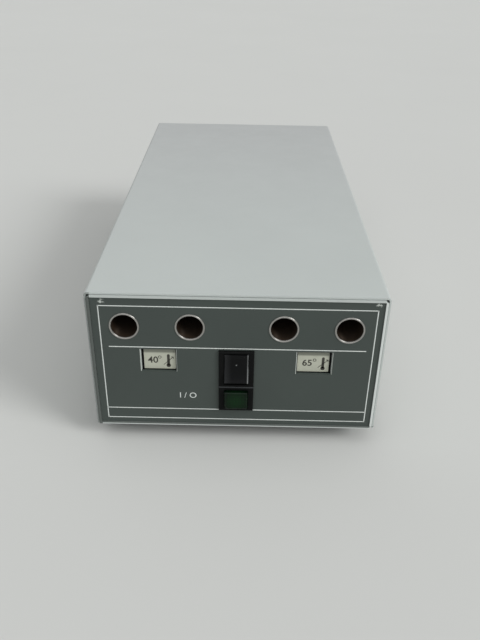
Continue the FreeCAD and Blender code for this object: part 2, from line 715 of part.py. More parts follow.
def make_support(y):
    """Bridge of folded sheet that carries both blocks on the base plate."""
    depth = span(y, SUPPORT_DEPTH)
    under = Z_BOARD - SUPPORT_T
    bridge = block(span(0, 2 * SUPPORT_X), depth, (under, Z_BOARD))
    pieces = []
    for side in SIDES.values():
        leg = sorted((side * (SUPPORT_X - SUPPORT_T), side * SUPPORT_X))
        pieces.append(block(leg, depth, (Z_FLOOR, Z_BOARD)))
        toe = sorted((side * (SUPPORT_X - SUPPORT_TOE), side * SUPPORT_X))
        pieces.append(block(toe, depth, (Z_FLOOR, Z_FLOOR + SUPPORT_T)))
    places = [(x, at, under, BLOCK_SCREW_D) for x, at in block_screw_places()]
    places += [(x, at, Z_FLOOR, RIVET_D) for x, at in rivet_places()]
    holes = [drill(Z_AXIS, (x, at, z), SUPPORT_T + OVER, diameter) for x, at, z, diameter in places]
    return bridge.fuse(pieces).cut(holes).removeSplitter()


def make_rivets():
    """Rivets through the toes of the supports and the base plate."""
    grip = BASE_T + SUPPORT_T
    head_zs = (Z_BASE - RIVET_HEAD_H, Z_BASE + grip)
    rivets = []
    for x, y in rivet_places():
        shank = rod(Z_AXIS, (x, y, Z_BASE), grip, RIVET_D)
        rivets.append(shank.fuse([rod(Z_AXIS, (x, y, z), RIVET_HEAD_H, RIVET_HEAD_D) for z in head_zs]))
    return Part.makeCompound(rivets)


def make_block_screws():
    """Screws up through supports and lower board into the blocks."""
    length = SUPPORT_T + BOARD_T + BLOCK_SCREW_GRIP
    z = Z_BOARD - SUPPORT_T
    return Part.makeCompound([
        screw_up(x, y, z, length, BLOCK_SCREW_D, BLOCK_SCREW_HEAD_D, BLOCK_SCREW_HEAD_H)
        for x, y in block_screw_places()
    ])


# Legend windows

def make_legend(side):
    """Translucent legend plate behind its window."""
    y = Y_FASCIA + LEGEND_RECESS
    return block(span(side * LEGEND_X, LEGEND_W), (y, y + LEGEND_T), span(Z_LEGEND, LEGEND_H))


def make_legend_housing(side):
    """Black lamp housing: its nose passes the front frame and holds the legend plate."""
    x = side * LEGEND_X
    back = Y_FRAME_IN + HOUSING_DEPTH
    seat = Y_FASCIA + LEGEND_RECESS + LEGEND_T
    nose = block(span(x, NOSE_W), (Y_PLATE, back), span(Z_LEGEND, NOSE_H))
    flange = block(
        span(x, NOSE_W + 2 * HOUSING_FLANGE), (Y_FRAME_IN, Y_FRAME_IN + HOUSING_FLANGE_T),
        span(Z_LEGEND, NOSE_H + 2 * HOUSING_FLANGE),
    )
    mouth = block(span(x, LEGEND_W + 2 * SEAT), (Y_PLATE - OVER, seat), span(Z_LEGEND, LEGEND_H + 2 * SEAT))
    room = block(
        span(x, LEGEND_W - 2 * LEGEND_LEDGE), (seat - OVER, back - HOUSING_WALL),
        span(Z_LEGEND, LEGEND_H - 2 * LEGEND_LEDGE),
    )
    hole = drill(-Y_AXIS, (x, back, Z_LEGEND), HOUSING_WALL + OVER, LAMP_BASE_D)
    return nose.fuse(flange).cut([mouth, room, hole]).removeSplitter()


def make_lamp(x, z, back):
    """Small lamp whose base sits in the rear wall of its housing."""
    front = back + LAMP_TAIL - LAMP_BASE_L
    base = rod(Y_AXIS, (x, front, z), LAMP_BASE_L, LAMP_BASE_D)
    straight = LAMP_BULB_L - LAMP_BULB_D / 2
    bulb = rod(Y_AXIS, (x, front - straight, z), straight, LAMP_BULB_D)
    return base.fuse([bulb, Part.makeSphere(LAMP_BULB_D / 2, V(x, front - straight, z))])


# Mains switch and pilot light

def make_bezel_housing(z, height, body_h, depth):
    """Black body behind the fascia with a bezel in front of it."""
    bezel = block(span(0, BEZEL_W), (Y_FASCIA - BEZEL_PROUD, Y_FASCIA), span(z, height))
    bezel = bezel.makeFillet(BEZEL_R, face_edges(bezel, y=Y_FASCIA - BEZEL_PROUD))
    return bezel.fuse(block(span(0, BODY_W), (Y_FASCIA, Y_FASCIA + depth), span(z, body_h)))


def make_switch_housing():
    """Switch housing with room for the rocker, bearings for its pins and slots for the blades."""
    body = make_bezel_housing(Z_SWITCH, SWITCH_H, SWITCH_BODY_H, SWITCH_DEPTH)
    room = block(
        span(0, ROCKER_W + 2 * ROCKER_GAP), (Y_FASCIA - BEZEL_PROUD - OVER, Y_FASCIA + SWITCH_CAVITY),
        span(Z_SWITCH, 2 * (ROCKER_R + ROCKER_GAP)),
    )
    bearing_l = ROCKER_W + 2 * (PIVOT_L + SEAT)
    bearing = rod(X_AXIS, (-bearing_l / 2, Y_PIVOT, Z_SWITCH), bearing_l, PIVOT_D + 2 * FIT)
    slots = [
        block(
            span(0, BLADE_W + 2 * FIT), (Y_FASCIA + SWITCH_CAVITY - OVER, Y_FASCIA + SWITCH_DEPTH + OVER),
            span(Z_SWITCH + offset, BLADE_T + 2 * FIT),
        )
        for offset in (-CONTACT_Z, 0, CONTACT_Z)
    ]
    return body.cut([room, bearing] + slots)


def rocker_point(angle):
    """A point on the end radius of the rocker, by its angle in front of the pivot."""
    turn = math.radians(angle)
    return V(0, -ROCKER_R * math.sin(turn), ROCKER_R * math.cos(turn))


def mirrored(point):
    """The same point below the pivot."""
    return V(point.x, point.y, -point.z)


def tilted(shape, degrees, y):
    """A switch piece turned about its pivot and moved to its place."""
    shape.rotate(V(0, 0, 0), X_AXIS, degrees)
    shape.translate(V(0, y, Z_SWITCH))
    return shape


def make_rocker():
    """Rocker with a hollow face, round ends, two pivot pins and a stem for the plunger."""
    edge = rocker_point(ROCKER_CORNER)
    skirt = rocker_point(-ROCKER_SKIRT_ANGLE)
    end_middle = rocker_point((ROCKER_CORNER - ROCKER_SKIRT_ANGLE) / 2)
    hub = V(0, ROCKER_HUB_DEPTH, ROCKER_HUB_Z)
    stem_root = V(0, ROCKER_HUB_DEPTH, STEM_H / 2)
    stem_end = V(0, STEM_DEPTH, STEM_H / 2)
    inside = [skirt, hub, stem_root, stem_end]
    path = inside + [mirrored(point) for point in reversed(inside)]
    edges = [Part.LineSegment(a, b).toShape() for a, b in zip(path, path[1:])]
    edges.append(Part.Arc(mirrored(skirt), mirrored(end_middle), mirrored(edge)).toShape())
    edges.append(Part.Arc(mirrored(edge), V(0, -ROCKER_DIP, 0), edge).toShape())
    edges.append(Part.Arc(edge, end_middle, skirt).toShape())
    profile = Part.Wire(Part.__sortEdges__(edges))
    rocker = Part.Face(profile).extrude(X_AXIS * ROCKER_W)
    rocker.translate(X_AXIS * (-ROCKER_W / 2))
    front = [edge for edge in rocker.Edges if edge.BoundBox.YMax < -ROCKER_DIP + NEAR]
    rocker = rocker.makeFillet(ROCKER_EDGE_R, front)
    pin_l = ROCKER_W + 2 * PIVOT_L
    rocker = rocker.fuse(rod(X_AXIS, (-pin_l / 2, 0, 0), pin_l, PIVOT_D))
    hole_l = PLUNGER_L - (PLUNGER_TIP - STEM_DEPTH) + SEAT
    rocker = rocker.cut(drill(-Y_AXIS, (0, STEM_DEPTH, 0), hole_l, PLUNGER_D))
    return tilted(rocker, -ROCKER_TILT, Y_PIVOT)


def make_plunger():
    """Round-nosed plunger in the stem of the rocker."""
    radius = PLUNGER_D / 2
    pin = rod(Y_AXIS, (0, PLUNGER_TIP - PLUNGER_L, 0), PLUNGER_L - radius, PLUNGER_D)
    return tilted(pin.fuse(Part.makeSphere(radius, V(0, PLUNGER_TIP - radius, 0))), -ROCKER_TILT, Y_PIVOT)


def make_bridge():
    """Contact bridge that the plunger tips over its rib."""
    bridge = block(span(0, BRIDGE_W), span(0, BRIDGE_T), span(0, BRIDGE_H))
    rib = rod(X_AXIS, (-BRIDGE_W / 2, 0, 0), BRIDGE_W, BRIDGE_RIB_D)
    return tilted(bridge.fuse(rib), BRIDGE_TILT, Y_BRIDGE)


def make_blades():
    """Middle blade under the bridge and the two outer contact blades."""
    rest = Y_BRIDGE + BRIDGE_RIB_D / 2 + CONTACT_GAP
    closed = Y_BRIDGE + BRIDGE_T / 2 + CONTACT_GAP + CONTACT_Z * math.sin(math.radians(BRIDGE_TILT))
    end = Y_FASCIA + SWITCH_DEPTH + BLADE_TAIL
    return Part.makeCompound([
        block(span(0, BLADE_W), (front, end), span(Z_SWITCH + offset, BLADE_T))
        for offset, front in ((-CONTACT_Z, closed), (0, rest), (CONTACT_Z, closed))
    ])


def make_pilot_housing():
    """Housing of the pilot light."""
    body = make_bezel_housing(Z_PILOT, PILOT_H, PILOT_BODY_H, PILOT_DEPTH)
    back = Y_FASCIA + PILOT_DEPTH
    seat = Y_FASCIA + LENS_SKIRT
    mouth = block(
        span(0, LENS_W + 2 * SEAT), (Y_FASCIA - BEZEL_PROUD - OVER, seat), span(Z_PILOT, LENS_H + 2 * SEAT)
    )
    room = block(
        span(0, LENS_W - 2 * LENS_LEDGE), (seat - OVER, back - PILOT_WALL),
        span(Z_PILOT, LENS_H - 2 * LENS_LEDGE),
    )
    hole = drill(-Y_AXIS, (0, back, Z_PILOT), PILOT_WALL + OVER, LAMP_BASE_D)
    return body.cut([mouth, room, hole])


def make_lens():
    """Hollow coloured cap of the pilot light."""
    front = Y_FASCIA - LENS_PROUD
    back = Y_FASCIA + LENS_SKIRT
    cap = block(span(0, LENS_W), (front, back), span(Z_PILOT, LENS_H))
    cap = cap.makeFillet(LENS_R, face_edges(cap, y=front))
    hollow = block(
        span(0, LENS_W - 2 * LENS_WALL), (front + LENS_WALL, back + OVER),
        span(Z_PILOT, LENS_H - 2 * LENS_WALL),
    )
    return cap.cut(hollow)


# Mains inlet

def make_inlet():
    """Appliance inlet with a fuse drawer bay under the socket."""
    mouth = Y_BACK + INLET_FLANGE_T
    flange = block(span(INLET_X, INLET_FLANGE_W), (Y_BACK, mouth), span(Z_INLET, INLET_FLANGE_H))
    flange = flange.makeFillet(INLET_FLANGE_R, straight_edges(flange, Y_AXIS))
    inner_end = Y_BACK - INLET_BODY_DEPTH
    body = block(span(INLET_X, INLET_BODY_W), (inner_end, Y_BACK), span(Z_INLET, INLET_BODY_H))
    socket = block(span(INLET_X, SOCKET_W), (mouth - SOCKET_DEPTH, mouth + OVER), span(Z_SOCKET, SOCKET_H))
    socket = socket.makeChamfer(SOCKET_CHAMFER, straight_edges(socket, Y_AXIS, z=Z_SOCKET + SOCKET_H / 2))
    bay = block(
        span(INLET_X, DRAWER_W + 2 * DRAWER_GAP), (mouth - DRAWER_L - DRAWER_GAP, mouth + OVER),
        span(Z_DRAWER, DRAWER_H + 2 * DRAWER_GAP),
    )
    screws = [countersunk_hole(point, -Y_AXIS, INLET_FLANGE_T) for point in inlet_screw_points()]
    slots = [
        block(span(x, PIN_T + 2 * FIT), (inner_end - OVER, mouth), span(z, PIN_H + 2 * FIT))
        for x, z in pin_places()
    ]
    return flange.fuse(body).cut([socket, bay] + screws + slots)


def inlet_screw_points():
    """Screw heads on the inlet's flange."""
    y = Y_BACK + INLET_FLANGE_T
    return [V(INLET_X + side * INLET_SCREW_X, y, Z_INLET) for side in SIDES.values()]


def pin_places():
    """The two line pins low in the socket and the earth pin above them."""
    offsets = ((-PIN_X, -PIN_Z), (PIN_X, -PIN_Z), (0, PIN_Z))
    return [(INLET_X + x, Z_SOCKET + z) for x, z in offsets]


def make_pins():
    """Flat pins from inside the socket to tails behind the inlet."""
    depth = (Y_BACK - INLET_BODY_DEPTH - PIN_TAIL, Y_BACK + INLET_FLANGE_T - PIN_RECESS)
    return Part.makeCompound([block(span(x, PIN_T), depth, span(z, PIN_H)) for x, z in pin_places()])


def make_inlet_screws():
    """Screws through the inlet's flange."""
    return Part.makeCompound([
        countersunk_screw(point, -Y_AXIS, INLET_FLANGE_T) for point in inlet_screw_points()
    ])


def fuse_ys():
    """Middles of the fuses along the drawer."""
    return [Y_BACK + INLET_FLANGE_T - FUSE_Y - index * FUSE_PITCH for index in range(FUSES)]


def make_drawer():
    """Fuse drawer with a lip, a finger notch and a pocket for each fuse."""
    mouth = Y_BACK + INLET_FLANGE_T
    lip = mouth + DRAWER_LIP_T
    drawer = block(span(INLET_X, DRAWER_W), (mouth - DRAWER_L, lip), span(Z_DRAWER, DRAWER_H))
    pockets = [
        block(
            span(INLET_X, FUSE_L + 2 * SEAT), span(y, FUSE_D + 2 * SEAT),
            (Z_DRAWER - FUSE_D / 2 - SEAT, Z_DRAWER + DRAWER_H),
        )
        for y in fuse_ys()
    ]
    notch_at = (INLET_X, lip + DRAWER_GRIP_R / 2, Z_DRAWER - DRAWER_H)
    notch = rod(Z_AXIS, notch_at, 2 * DRAWER_H, 2 * DRAWER_GRIP_R)
    return drawer.cut(pockets + [notch])


def make_fuses():
    """Glass fuses lying across the drawer."""
    return Part.makeCompound([
        rod(X_AXIS, (INLET_X - FUSE_L / 2, y, Z_DRAWER), FUSE_L, FUSE_D) for y in fuse_ys()
    ])


# Terminal strip and wiring

def strip_xs():
    """Middles of the poles of the terminal strip."""
    reach = STRIP_PITCH * (STRIP_POLES - 1) / 2
    return even_places(-reach, reach, STRIP_POLES)


def strip_screw_xs():
    """Fixing screws at the two ends of the terminal strip."""
    return [side * (STRIP_W / 2 - STRIP_FIX_IN) for side in SIDES.values()]


def make_strip():
    """Terminal strip on the base plate."""
    top = Z_FLOOR + STRIP_H
    body = block(span(0, STRIP_W), span(Y_STRIP, STRIP_DEPTH), (Z_FLOOR, top))
    holes = [drill(-Z_AXIS, (x, Y_STRIP, top), STRIP_SCREW_DEPTH, STRIP_SCREW_D) for x in strip_xs()]
    fix_depth = SCREW_L - BASE_T + SEAT
    holes += [drill(Z_AXIS, (x, Y_STRIP, Z_FLOOR), fix_depth, SCREW_D) for x in strip_screw_xs()]
    return body.cut(holes)


def make_strip_screws():
    """Clamp screws in the strip and the screws that hold it from below."""
    top = Z_FLOOR + STRIP_H
    clamps = [rod(-Z_AXIS, (x, Y_STRIP, top), STRIP_SCREW_DEPTH, STRIP_SCREW_D) for x in strip_xs()]
    holders = [
        screw_up(x, Y_STRIP, Z_BASE, SCREW_L, SCREW_D, STRIP_FIX_HEAD_D, STRIP_FIX_HEAD_H)
        for x in strip_screw_xs()
    ]
    return Part.makeCompound(clamps + holders)


def wire(*points):
    """A round wire along straight runs joined by tangent arcs."""
    corners = [V(*point) for point in points]
    start = corners[0]
    edges = []
    for before, corner, after in zip(corners, corners[1:], corners[2:]):
        into = corner - before
        out = after - corner
        reach = WIRE_ARC * min(into.Length, out.Length)
        half_turn = into.getAngle(out) / 2
        into.normalize()
        out.normalize()
        inside = (out - into).normalize()
        sag = reach / math.tan(half_turn) * (1 / math.cos(half_turn) - 1)
        edges.append(Part.LineSegment(start, corner - into * reach).toShape())
        start = corner + out * reach
        edges.append(Part.Arc(corner - into * reach, corner + inside * sag, start).toShape())
    edges.append(Part.LineSegment(start, corners[-1]).toShape())
    section = Part.Wire(Part.makeCircle(WIRE_D / 2, corners[0], corners[1] - corners[0]))
    return Part.Wire(edges).makePipeShell([section], True, False)


def floor_wire_xs():
    """Places across the case of the two switch wires, at the middle poles of the strip."""
    return [-STRIP_PITCH / 2, STRIP_PITCH / 2]


def make_front_wiring():
    """Switch wires along the floor to the strip, and the wires of the three lamps."""
    blade = Y_FASCIA + SWITCH_DEPTH + BLADE_TAIL
    drop = blade + 2 * WIRE_OUT
    wires = []
    for side, x, z in zip(SIDES.values(), floor_wire_xs(), (Z_SWITCH + CONTACT_Z, Z_SWITCH)):
        start = side * BLADE_WIRE_X
        floor_end = (x, Y_STRIP_FRONT, Z_WIRE)
        wires.append(wire((start, blade, z), (start, drop, z), (x, drop, Z_WIRE), floor_end))
    pilot = Y_FASCIA + PILOT_DEPTH + LAMP_TAIL
    bend = blade + WIRE_OUT / 2
    low = Z_SWITCH - CONTACT_Z
    high = Z_PILOT + LAMP_WIRE_Z
    wires.append(wire((0, blade, low), (0, bend, low), (0, bend, high), (0, pilot, high)))
    lamp = Y_FRAME_IN + HOUSING_DEPTH + LAMP_TAIL
    bend = lamp + WIRE_OUT
    under = Z_PILOT - LAMP_WIRE_Z / 2
    for side in SIDES.values():
        far = side * LEGEND_X
        near = side * LAMP_WIRE_X
        legend_run = ((far, lamp, Z_LEGEND), (far, bend, Z_LEGEND))
        wires.append(wire(*legend_run, (near, bend, under), (near, pilot, under)))
    return Part.makeCompound(wires)


def make_rear_wiring():
    """Wires from the inlet, the cartridges and the cut-outs to the strip, and the thermostat links."""
    poles = strip_xs()
    wires = []
    tail = Y_BACK - INLET_BODY_DEPTH - PIN_TAIL
    strip_rear = Y_STRIP + STRIP_DEPTH / 2
    line, neutral, earth = pin_places()
    for step, ((x, z), pole) in enumerate(zip((line, earth, neutral), poles[-3:])):
        bend = tail - WIRE_OUT + step * WIRE_STEP - WIRE_STEP
        wires.append(wire((x, tail, z), (x, bend, z), (pole, bend, Z_WIRE), (pole, strip_rear, Z_WIRE)))
    heater = Y_BLOCK1 + CARTRIDGE_TAIL_L
    tab = SENSOR_D / 2 + SENSOR_TAB
    link = (Y_BLOCK0 + THERMOSTAT_Y + tab, Y_BLOCK0 + CUTOUT_Y - tab)
    runs = (
        (BLOCK_X, heater, Z_WELL - CARTRIDGE_DROP, heater + WIRE_OUT),
        (SENSOR_X, Y_BLOCK0 + CUTOUT_Y + tab, Z_SENSOR, heater + WIRE_STEP),
    )
    for side, pair in zip(SIDES.values(), (poles[:2], poles[:-3:-1])):
        wires.append(rod(Y_AXIS, (side * SENSOR_X, link[0], Z_SENSOR), link[1] - link[0], WIRE_D))
        for (from_middle, start, z, bend), pole in zip(runs, pair):
            x = side * from_middle
            strip_end = (pole, Y_STRIP_FRONT, Z_WIRE)
            wires.append(wire((x, start, z), (x, bend, z), (pole, bend, Z_WIRE), strip_end))
    return Part.makeCompound(wires)


def make_clips():
    """Clips that hold the switch wires on the base plate."""
    clips = []
    for y in even_places(Y_BLOCK0 + 2 * SUPPORT_END, Y_BLOCK1, CLIPS):
        depth = span(y, CLIP_DEPTH)
        body = block(span(0, CLIP_W), depth, (Z_FLOOR, Z_FLOOR + CLIP_H))
        bores = [drill(Y_AXIS, (x, depth[0], Z_WIRE), CLIP_DEPTH + OVER, WIRE_D) for x in floor_wire_xs()]
        clips.append(body.cut(bores))
    return Part.makeCompound(clips)


def main():
    """Write every piece to its own file."""
    nodes = {
        "hood": make_hood(),
        "base_plate": make_base_plate(),
        "front_frame": make_front_frame(),
        "rear_frame": make_rear_frame(),
        "fascia": make_fascia(),
        "hood_screws": make_hood_screws(),
        "frame_screws": make_frame_screws(),
        "foot_screws": make_foot_screws(),
        "foot_nuts": make_foot_nuts(),
        "well_caps": make_caps(),
        "insulation_lower": make_board(Z_BOARD, block_screw_places()),
        "insulation_upper": make_board(Z_WELL + BLOCK_HALF_H, []),
        "support_front": make_support(SUPPORT_YS[0]),
        "support_rear": make_support(SUPPORT_YS[1]),
        "support_rivets": make_rivets(),
        "block_screws": make_block_screws(),
        "switch_housing": make_switch_housing(),
        "mains_rocker": make_rocker(),
        "rocker_plunger": make_plunger(),
        "contact_bridge": make_bridge(),
        "switch_blades": make_blades(),
        "pilot_housing": make_pilot_housing(),
        "pilot_lens": make_lens(),
        "pilot_lamp": make_lamp(0, Z_PILOT, Y_FASCIA + PILOT_DEPTH),
        "inlet_housing": make_inlet(),
        "inlet_pins": make_pins(),
        "inlet_screws": make_inlet_screws(),
        "fuse_drawer": make_drawer(),
        "fuses": make_fuses(),
        "terminal_strip": make_strip(),
        "terminal_screws": make_strip_screws(),
        "wiring_front": make_front_wiring(),
        "wiring_rear": make_rear_wiring(),
        "wire_clips": make_clips(),
    }
    for name, (x, y) in foot_places().items():
        nodes[name] = make_foot(x, y)
    for number, x in enumerate(WELL_XS, 1):
        nodes[f"well_tube_{number}"] = make_well(x)
    for name, side in SIDES.items():
        nodes[f"block_upper_{name}"] = make_upper_block(side)
        nodes[f"block_lower_{name}"] = make_lower_block(side)
        nodes[f"clamp_bolts_{name}"] = make_clamp_bolts(side)
        nodes[f"cartridge_heater_{name}"] = make_cartridge(side)
        nodes[f"thermostat_{name}"] = make_sensor(side, THERMOSTAT_Y)
        nodes[f"thermal_cutout_{name}"] = make_sensor(side, CUTOUT_Y)
        nodes[f"legend_plate_{name}"] = make_legend(side)
        nodes[f"legend_housing_{name}"] = make_legend_housing(side)
        nodes[f"legend_lamp_{name}"] = make_lamp(side * LEGEND_X, Z_LEGEND, Y_FRAME_IN + HOUSING_DEPTH)
    os.makedirs("parts", exist_ok=True)
    for name, shape in nodes.items():
        shape.exportStep(f"parts/{name}.step")


main()
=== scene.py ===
"""Looks of the bench warmer: finishes for every piece, the printing on its front, light and camera.

Lengths in the tables are millimetres, as on a drawing. The scene itself is in metres, in the frame of the
model: +X right, +Y from the front to the back, +Z up, with the origin on the bench.
"""

import math

import bmesh
import bpy
from mathutils import Matrix, Vector


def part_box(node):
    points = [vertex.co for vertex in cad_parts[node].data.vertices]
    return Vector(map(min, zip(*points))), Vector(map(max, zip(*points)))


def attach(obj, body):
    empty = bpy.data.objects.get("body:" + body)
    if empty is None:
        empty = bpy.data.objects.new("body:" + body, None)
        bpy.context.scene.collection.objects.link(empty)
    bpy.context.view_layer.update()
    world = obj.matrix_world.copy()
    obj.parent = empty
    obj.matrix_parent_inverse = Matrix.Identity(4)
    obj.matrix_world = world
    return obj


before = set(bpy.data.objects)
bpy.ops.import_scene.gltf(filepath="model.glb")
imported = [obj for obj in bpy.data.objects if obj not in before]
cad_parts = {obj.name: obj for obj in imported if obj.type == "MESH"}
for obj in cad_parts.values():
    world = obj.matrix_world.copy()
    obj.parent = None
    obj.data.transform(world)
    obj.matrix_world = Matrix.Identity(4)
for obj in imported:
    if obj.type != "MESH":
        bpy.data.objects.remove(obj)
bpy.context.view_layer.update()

MM = 0.001
SIDES = ("left", "right")

# Printing on the fascia, from the middle and from the lower edge of the case
LINE_W = 0.72
INK_T = 0.03                # thickness of a printed layer
INK_SINK = 0.01             # how far a printed layer reaches into what carries it
BORDER_X = (-92.7, 93.6)
BORDER_Z = (5.9, 99.2)
ROW_LINE_X = (-87.7, 88.8)  # line under the wells
ROW_LINE_Z = 67.1
STRIP_LINE_Z = 14.6         # line above the lower strip
SWITCH_MARKS = "I / O"
SWITCH_MARKS_X = -40.0
SWITCH_MARKS_Z = 24.6
SWITCH_MARKS_H = 4.6

# Printing on the legend plates, from the left and lower edges of a plate
LEGENDS = {"left": "40", "right": "65"}
LEGEND_START = {"left": 2.6, "right": 3.5}
NUMERAL_Z = 4.7
NUMERAL_H = 5.3
NUMERAL_WEIGHT = 0.018      # thickening of the strokes, as a share of the type size
DEGREE_X = 8.4              # from the start of the numeral
DEGREE_Z = 9.6
DEGREE_R = 1.0
FINE_LINE_W = 0.45
STEM_X = 14.4               # from the start of the numeral
STEM_W = 1.9
STEM_Z = (2.9, 11.1)
BULB_R = 1.55
BULB_Z = 2.8
ARROW_REACH = 3.4           # arrow each side of the stem
ARROW_Z = (3.4, 9.9)
ARROW_HEAD = 1.6
CIRCLE_POINTS = 28          # corners of a printed circle
LEGEND_SHADOW = (2.9, 4.1)    # painted shadow of the window's upper edge, from thick to none, below the upper edge of a plate
LEGEND_SHADOW_SHARE = 0.7

# Rocker and pilot light
ROCKER_HALF_W = 8.4
ROCKER_EDGE_HIGHLIGHT = (1.1, 0.4)    # painted highlight, from none to full, in from the right edge
ROCKER_SHEEN = 5.0           # painted sheen, from the left edge to where it ends
PILOT_EDGE_HIGHLIGHT = (1.0, 0.5)     # painted highlight, from none to full, below the upper edge of the housing
PRISM = 2.2                 # pitch of the prisms behind the lens
PRISM_VALLEY = 0.55         # light in a valley between prisms, as a share of that on a ridge
GLOW = (2.5, 10.5)          # painted glow, from full to none, out from the middle of the lens
DOT_R = 0.55
DOT_TAPER = 0.8             # front of the dot to its foot
DOT_CORNERS = 32
DOT_RISE = 3.4              # dot above the rocker's pivot
SIGHT_START = 10.0          # before the rocker, for the line that finds its face

# Bevelled upright edges of the legend windows in the fascia
WINDOW_X = 54.0             # middle of a window
WINDOW_HALF_W = 12.75
BEVEL = 0.5
BEVEL_HALF_MASK = 0.275     # a little over half a bevel
BEVEL_BEHIND = 0.025        # behind the fascia's face

# Case enamel: sizes of its patterns, the painted highlight and painted shade on its front edges, and how it
# darkens towards the back
ENAMEL_CLOUD = 70.0         # slow change of the colour
ENAMEL_SPECK = 1.1          # drawn coarser than real specks, so that they show
SPECK_LIMITS = (0.70, 0.78)  # noise where a speck begins and is full
SPECK_SHARE = 0.35
ENAMEL_MARKS = 28.0         # hand marks
ENAMEL_PEEL = 2.2           # orange peel
ENAMEL_PEEL_H = 0.03
EDGE_W = 2.2                # width of a front edge with painted highlight on the right and painted shade on the left
EDGE_SHARE = 0.92           # share of the painted highlight and painted shade colours on an edge
FOOT_SHADE = (0.9, 2.0)      # painted shade over the foot, from the lower edge of the front frame
EDGE_HIGHLIGHT_DEPTH = (0.1, 0.5)      # painted highlight, from full to none, behind the front edge
# Painted shade, from full to none, behind the front edge
EDGE_SHADE_DEPTH = (0.2, 1.6)
BACK_DARKENING_SHARE = 0.55           # darker towards the back, this share at the back edge of the hood

# Fascia lacquer: sizes of its patterns, and paint rubbed off its corners
LACQUER_CLOUD = 45.0
LACQUER_GRAIN = 0.6
LACQUER_GRAIN_H = 0.02
CHIP_GRAIN = 1.8
CHIP_WEAR = 0.62            # added to the grain in the middle of a chip
CHIP_LIMITS = (0.96, 1.04)  # wear at which paint begins to go and is gone
# From the nearer side, from the top, share of the height to the width, reach
CHIPS = {-1: (7.6, 2.7, 0.8, 4.6), 1: (3.6, 2.0, 0.36, 3.6)}

# Well tubes and galvanised sheet: sizes of their patterns
WELL_FADE = (0.2, 1.2)      # from bright to browned, behind the mouth
WELL_STAIN = 6.0
WELL_GRIT = 0.5
WELL_GRIT_H = 0.01
SPANGLE = 11.0              # zinc crystals
ZINC_DENT = 1.5
ZINC_DENT_H = 0.01

# View of the photograph, and the size of its frame in pixels
FOCAL_PX = 681.28
FRAME_H_PX = 640
SENSOR_H = 24.0
CAMERA_FROM = (3.7, -390.8, 322.7)  # from the middle of the lower front edge of the case
CAMERA_PITCH = 30.70
CAMERA_YAW = 0.2547
CAMERA_ROLL = 1.0153

# Stage, in metres
SIGHT = (0.01, 60.0)        # nearest and farthest that the camera sees
FLOOR_REACH = 40.0

# Light
SURROUND_LEVEL = 0.42
BACKDROP_LEVEL = 0.75       # the surround where it is seen or mirrored
# Where each lamp's light comes from, its level, and the degrees that the lamp spans
LAMPS = {
    "overhead": ((0.10, -0.40, 0.91), 1.09, 90.0),
    "window": ((0.72, -0.42, 0.55), 1.6, 24.0),
}

# Sockets of a node that mixes two colours
SHARE, FIRST, SECOND, MIXED = 0, 6, 7, 2


def linear(code):
    """Linear colour of an sRGB hex code."""
    parts = [int(code[at:at + 2], 16) / 255 for at in (1, 3, 5)]
    return [part / 12.92 if part <= 0.04045 else ((part + 0.055) / 1.055) ** 2.4 for part in parts] + [1.0]


def node(tree, kind, inputs=None, **settings):
    """Add a node with its settings; each input gets a value or a link from a socket."""
    made = tree.nodes.new(kind)
    for name, value in settings.items():
        setattr(made, name, value)
    for key, value in (inputs or {}).items():
        if isinstance(value, bpy.types.NodeSocket):
            tree.links.new(value, made.inputs[key])
        else:
            made.inputs[key].default_value = value
    return made


# Materials

def socket_name(key):
    """Name of a shader's socket from a plain key."""
    return key.replace("_", " ").title().replace("Ior", "IOR")


def start(name, **uniform):
    """A new material with its tree, its shader and Object coordinates; uniform values go on the shader."""
    made = bpy.data.materials.new(name)
    made.use_nodes = True
    tree = made.node_tree
    shader = tree.nodes["Principled BSDF"]
    for key, value in uniform.items():
        shader.inputs[socket_name(key)].default_value = value
    place = node(tree, "ShaderNodeTexCoord").outputs["Object"]
    return made, tree, shader, place


def feed(tree, shader, **sources):
    """Link what varies over the surface to the shader."""
    for key, source in sources.items():
        tree.links.new(source, shader.inputs[socket_name(key)])


def per_mm(size):
    """Texture scale that gives features of a size in millimetres."""
    return 1 / (size * MM)


def grained(name, ground, shade, grain, rough, relief, stretch=(1, 1, 1), **uniform):
    """A finish whose colour, gloss and relief follow one grain of a real size, finer across than along."""
    made, tree, shader, place = start(name, **uniform)
    laid = node(tree, "ShaderNodeMapping", {"Vector": place, "Scale": stretch})
    grains = node(tree, "ShaderNodeTexNoise", {
        "Vector": laid.outputs[0], "Scale": per_mm(grain), "Detail": 5.0, "Roughness": 0.6,
    })
    tint = node(tree, "ShaderNodeMix", {
        SHARE: grains.outputs["Fac"], FIRST: linear(ground), SECOND: linear(shade),
    }, data_type="RGBA")
    gloss = node(tree, "ShaderNodeMapRange", {
        "Value": grains.outputs["Fac"], "To Min": rough[0], "To Max": rough[1],
    })
    bump = node(tree, "ShaderNodeBump", {"Height": grains.outputs["Fac"], "Distance": relief * MM})
    feed(tree, shader, base_color=tint.outputs[MIXED], roughness=gloss.outputs[0], normal=bump.outputs[0])
    return made


def fade_to(finish, colour, axis, start_at, end_at, share=1.0):
    """Let a finish pass over to another colour between two places along an axis, in millimetres."""
    tree = finish.node_tree
    skin = tree.nodes["Principled BSDF"].inputs["Base Color"]
    place = node(tree, "ShaderNodeTexCoord").outputs["Object"]
    apart = node(tree, "ShaderNodeSeparateXYZ", {"Vector": place})
    amount = node(tree, "ShaderNodeMapRange", {
        "Value": apart.outputs[axis], "From Min": start_at * MM, "From Max": end_at * MM, "To Max": share,
    })
    faded = node(tree, "ShaderNodeMix", {
        SHARE: amount.outputs[0], FIRST: skin.links[0].from_socket, SECOND: linear(colour),
    }, data_type="RGBA")
    tree.links.new(faded.outputs[MIXED], skin)


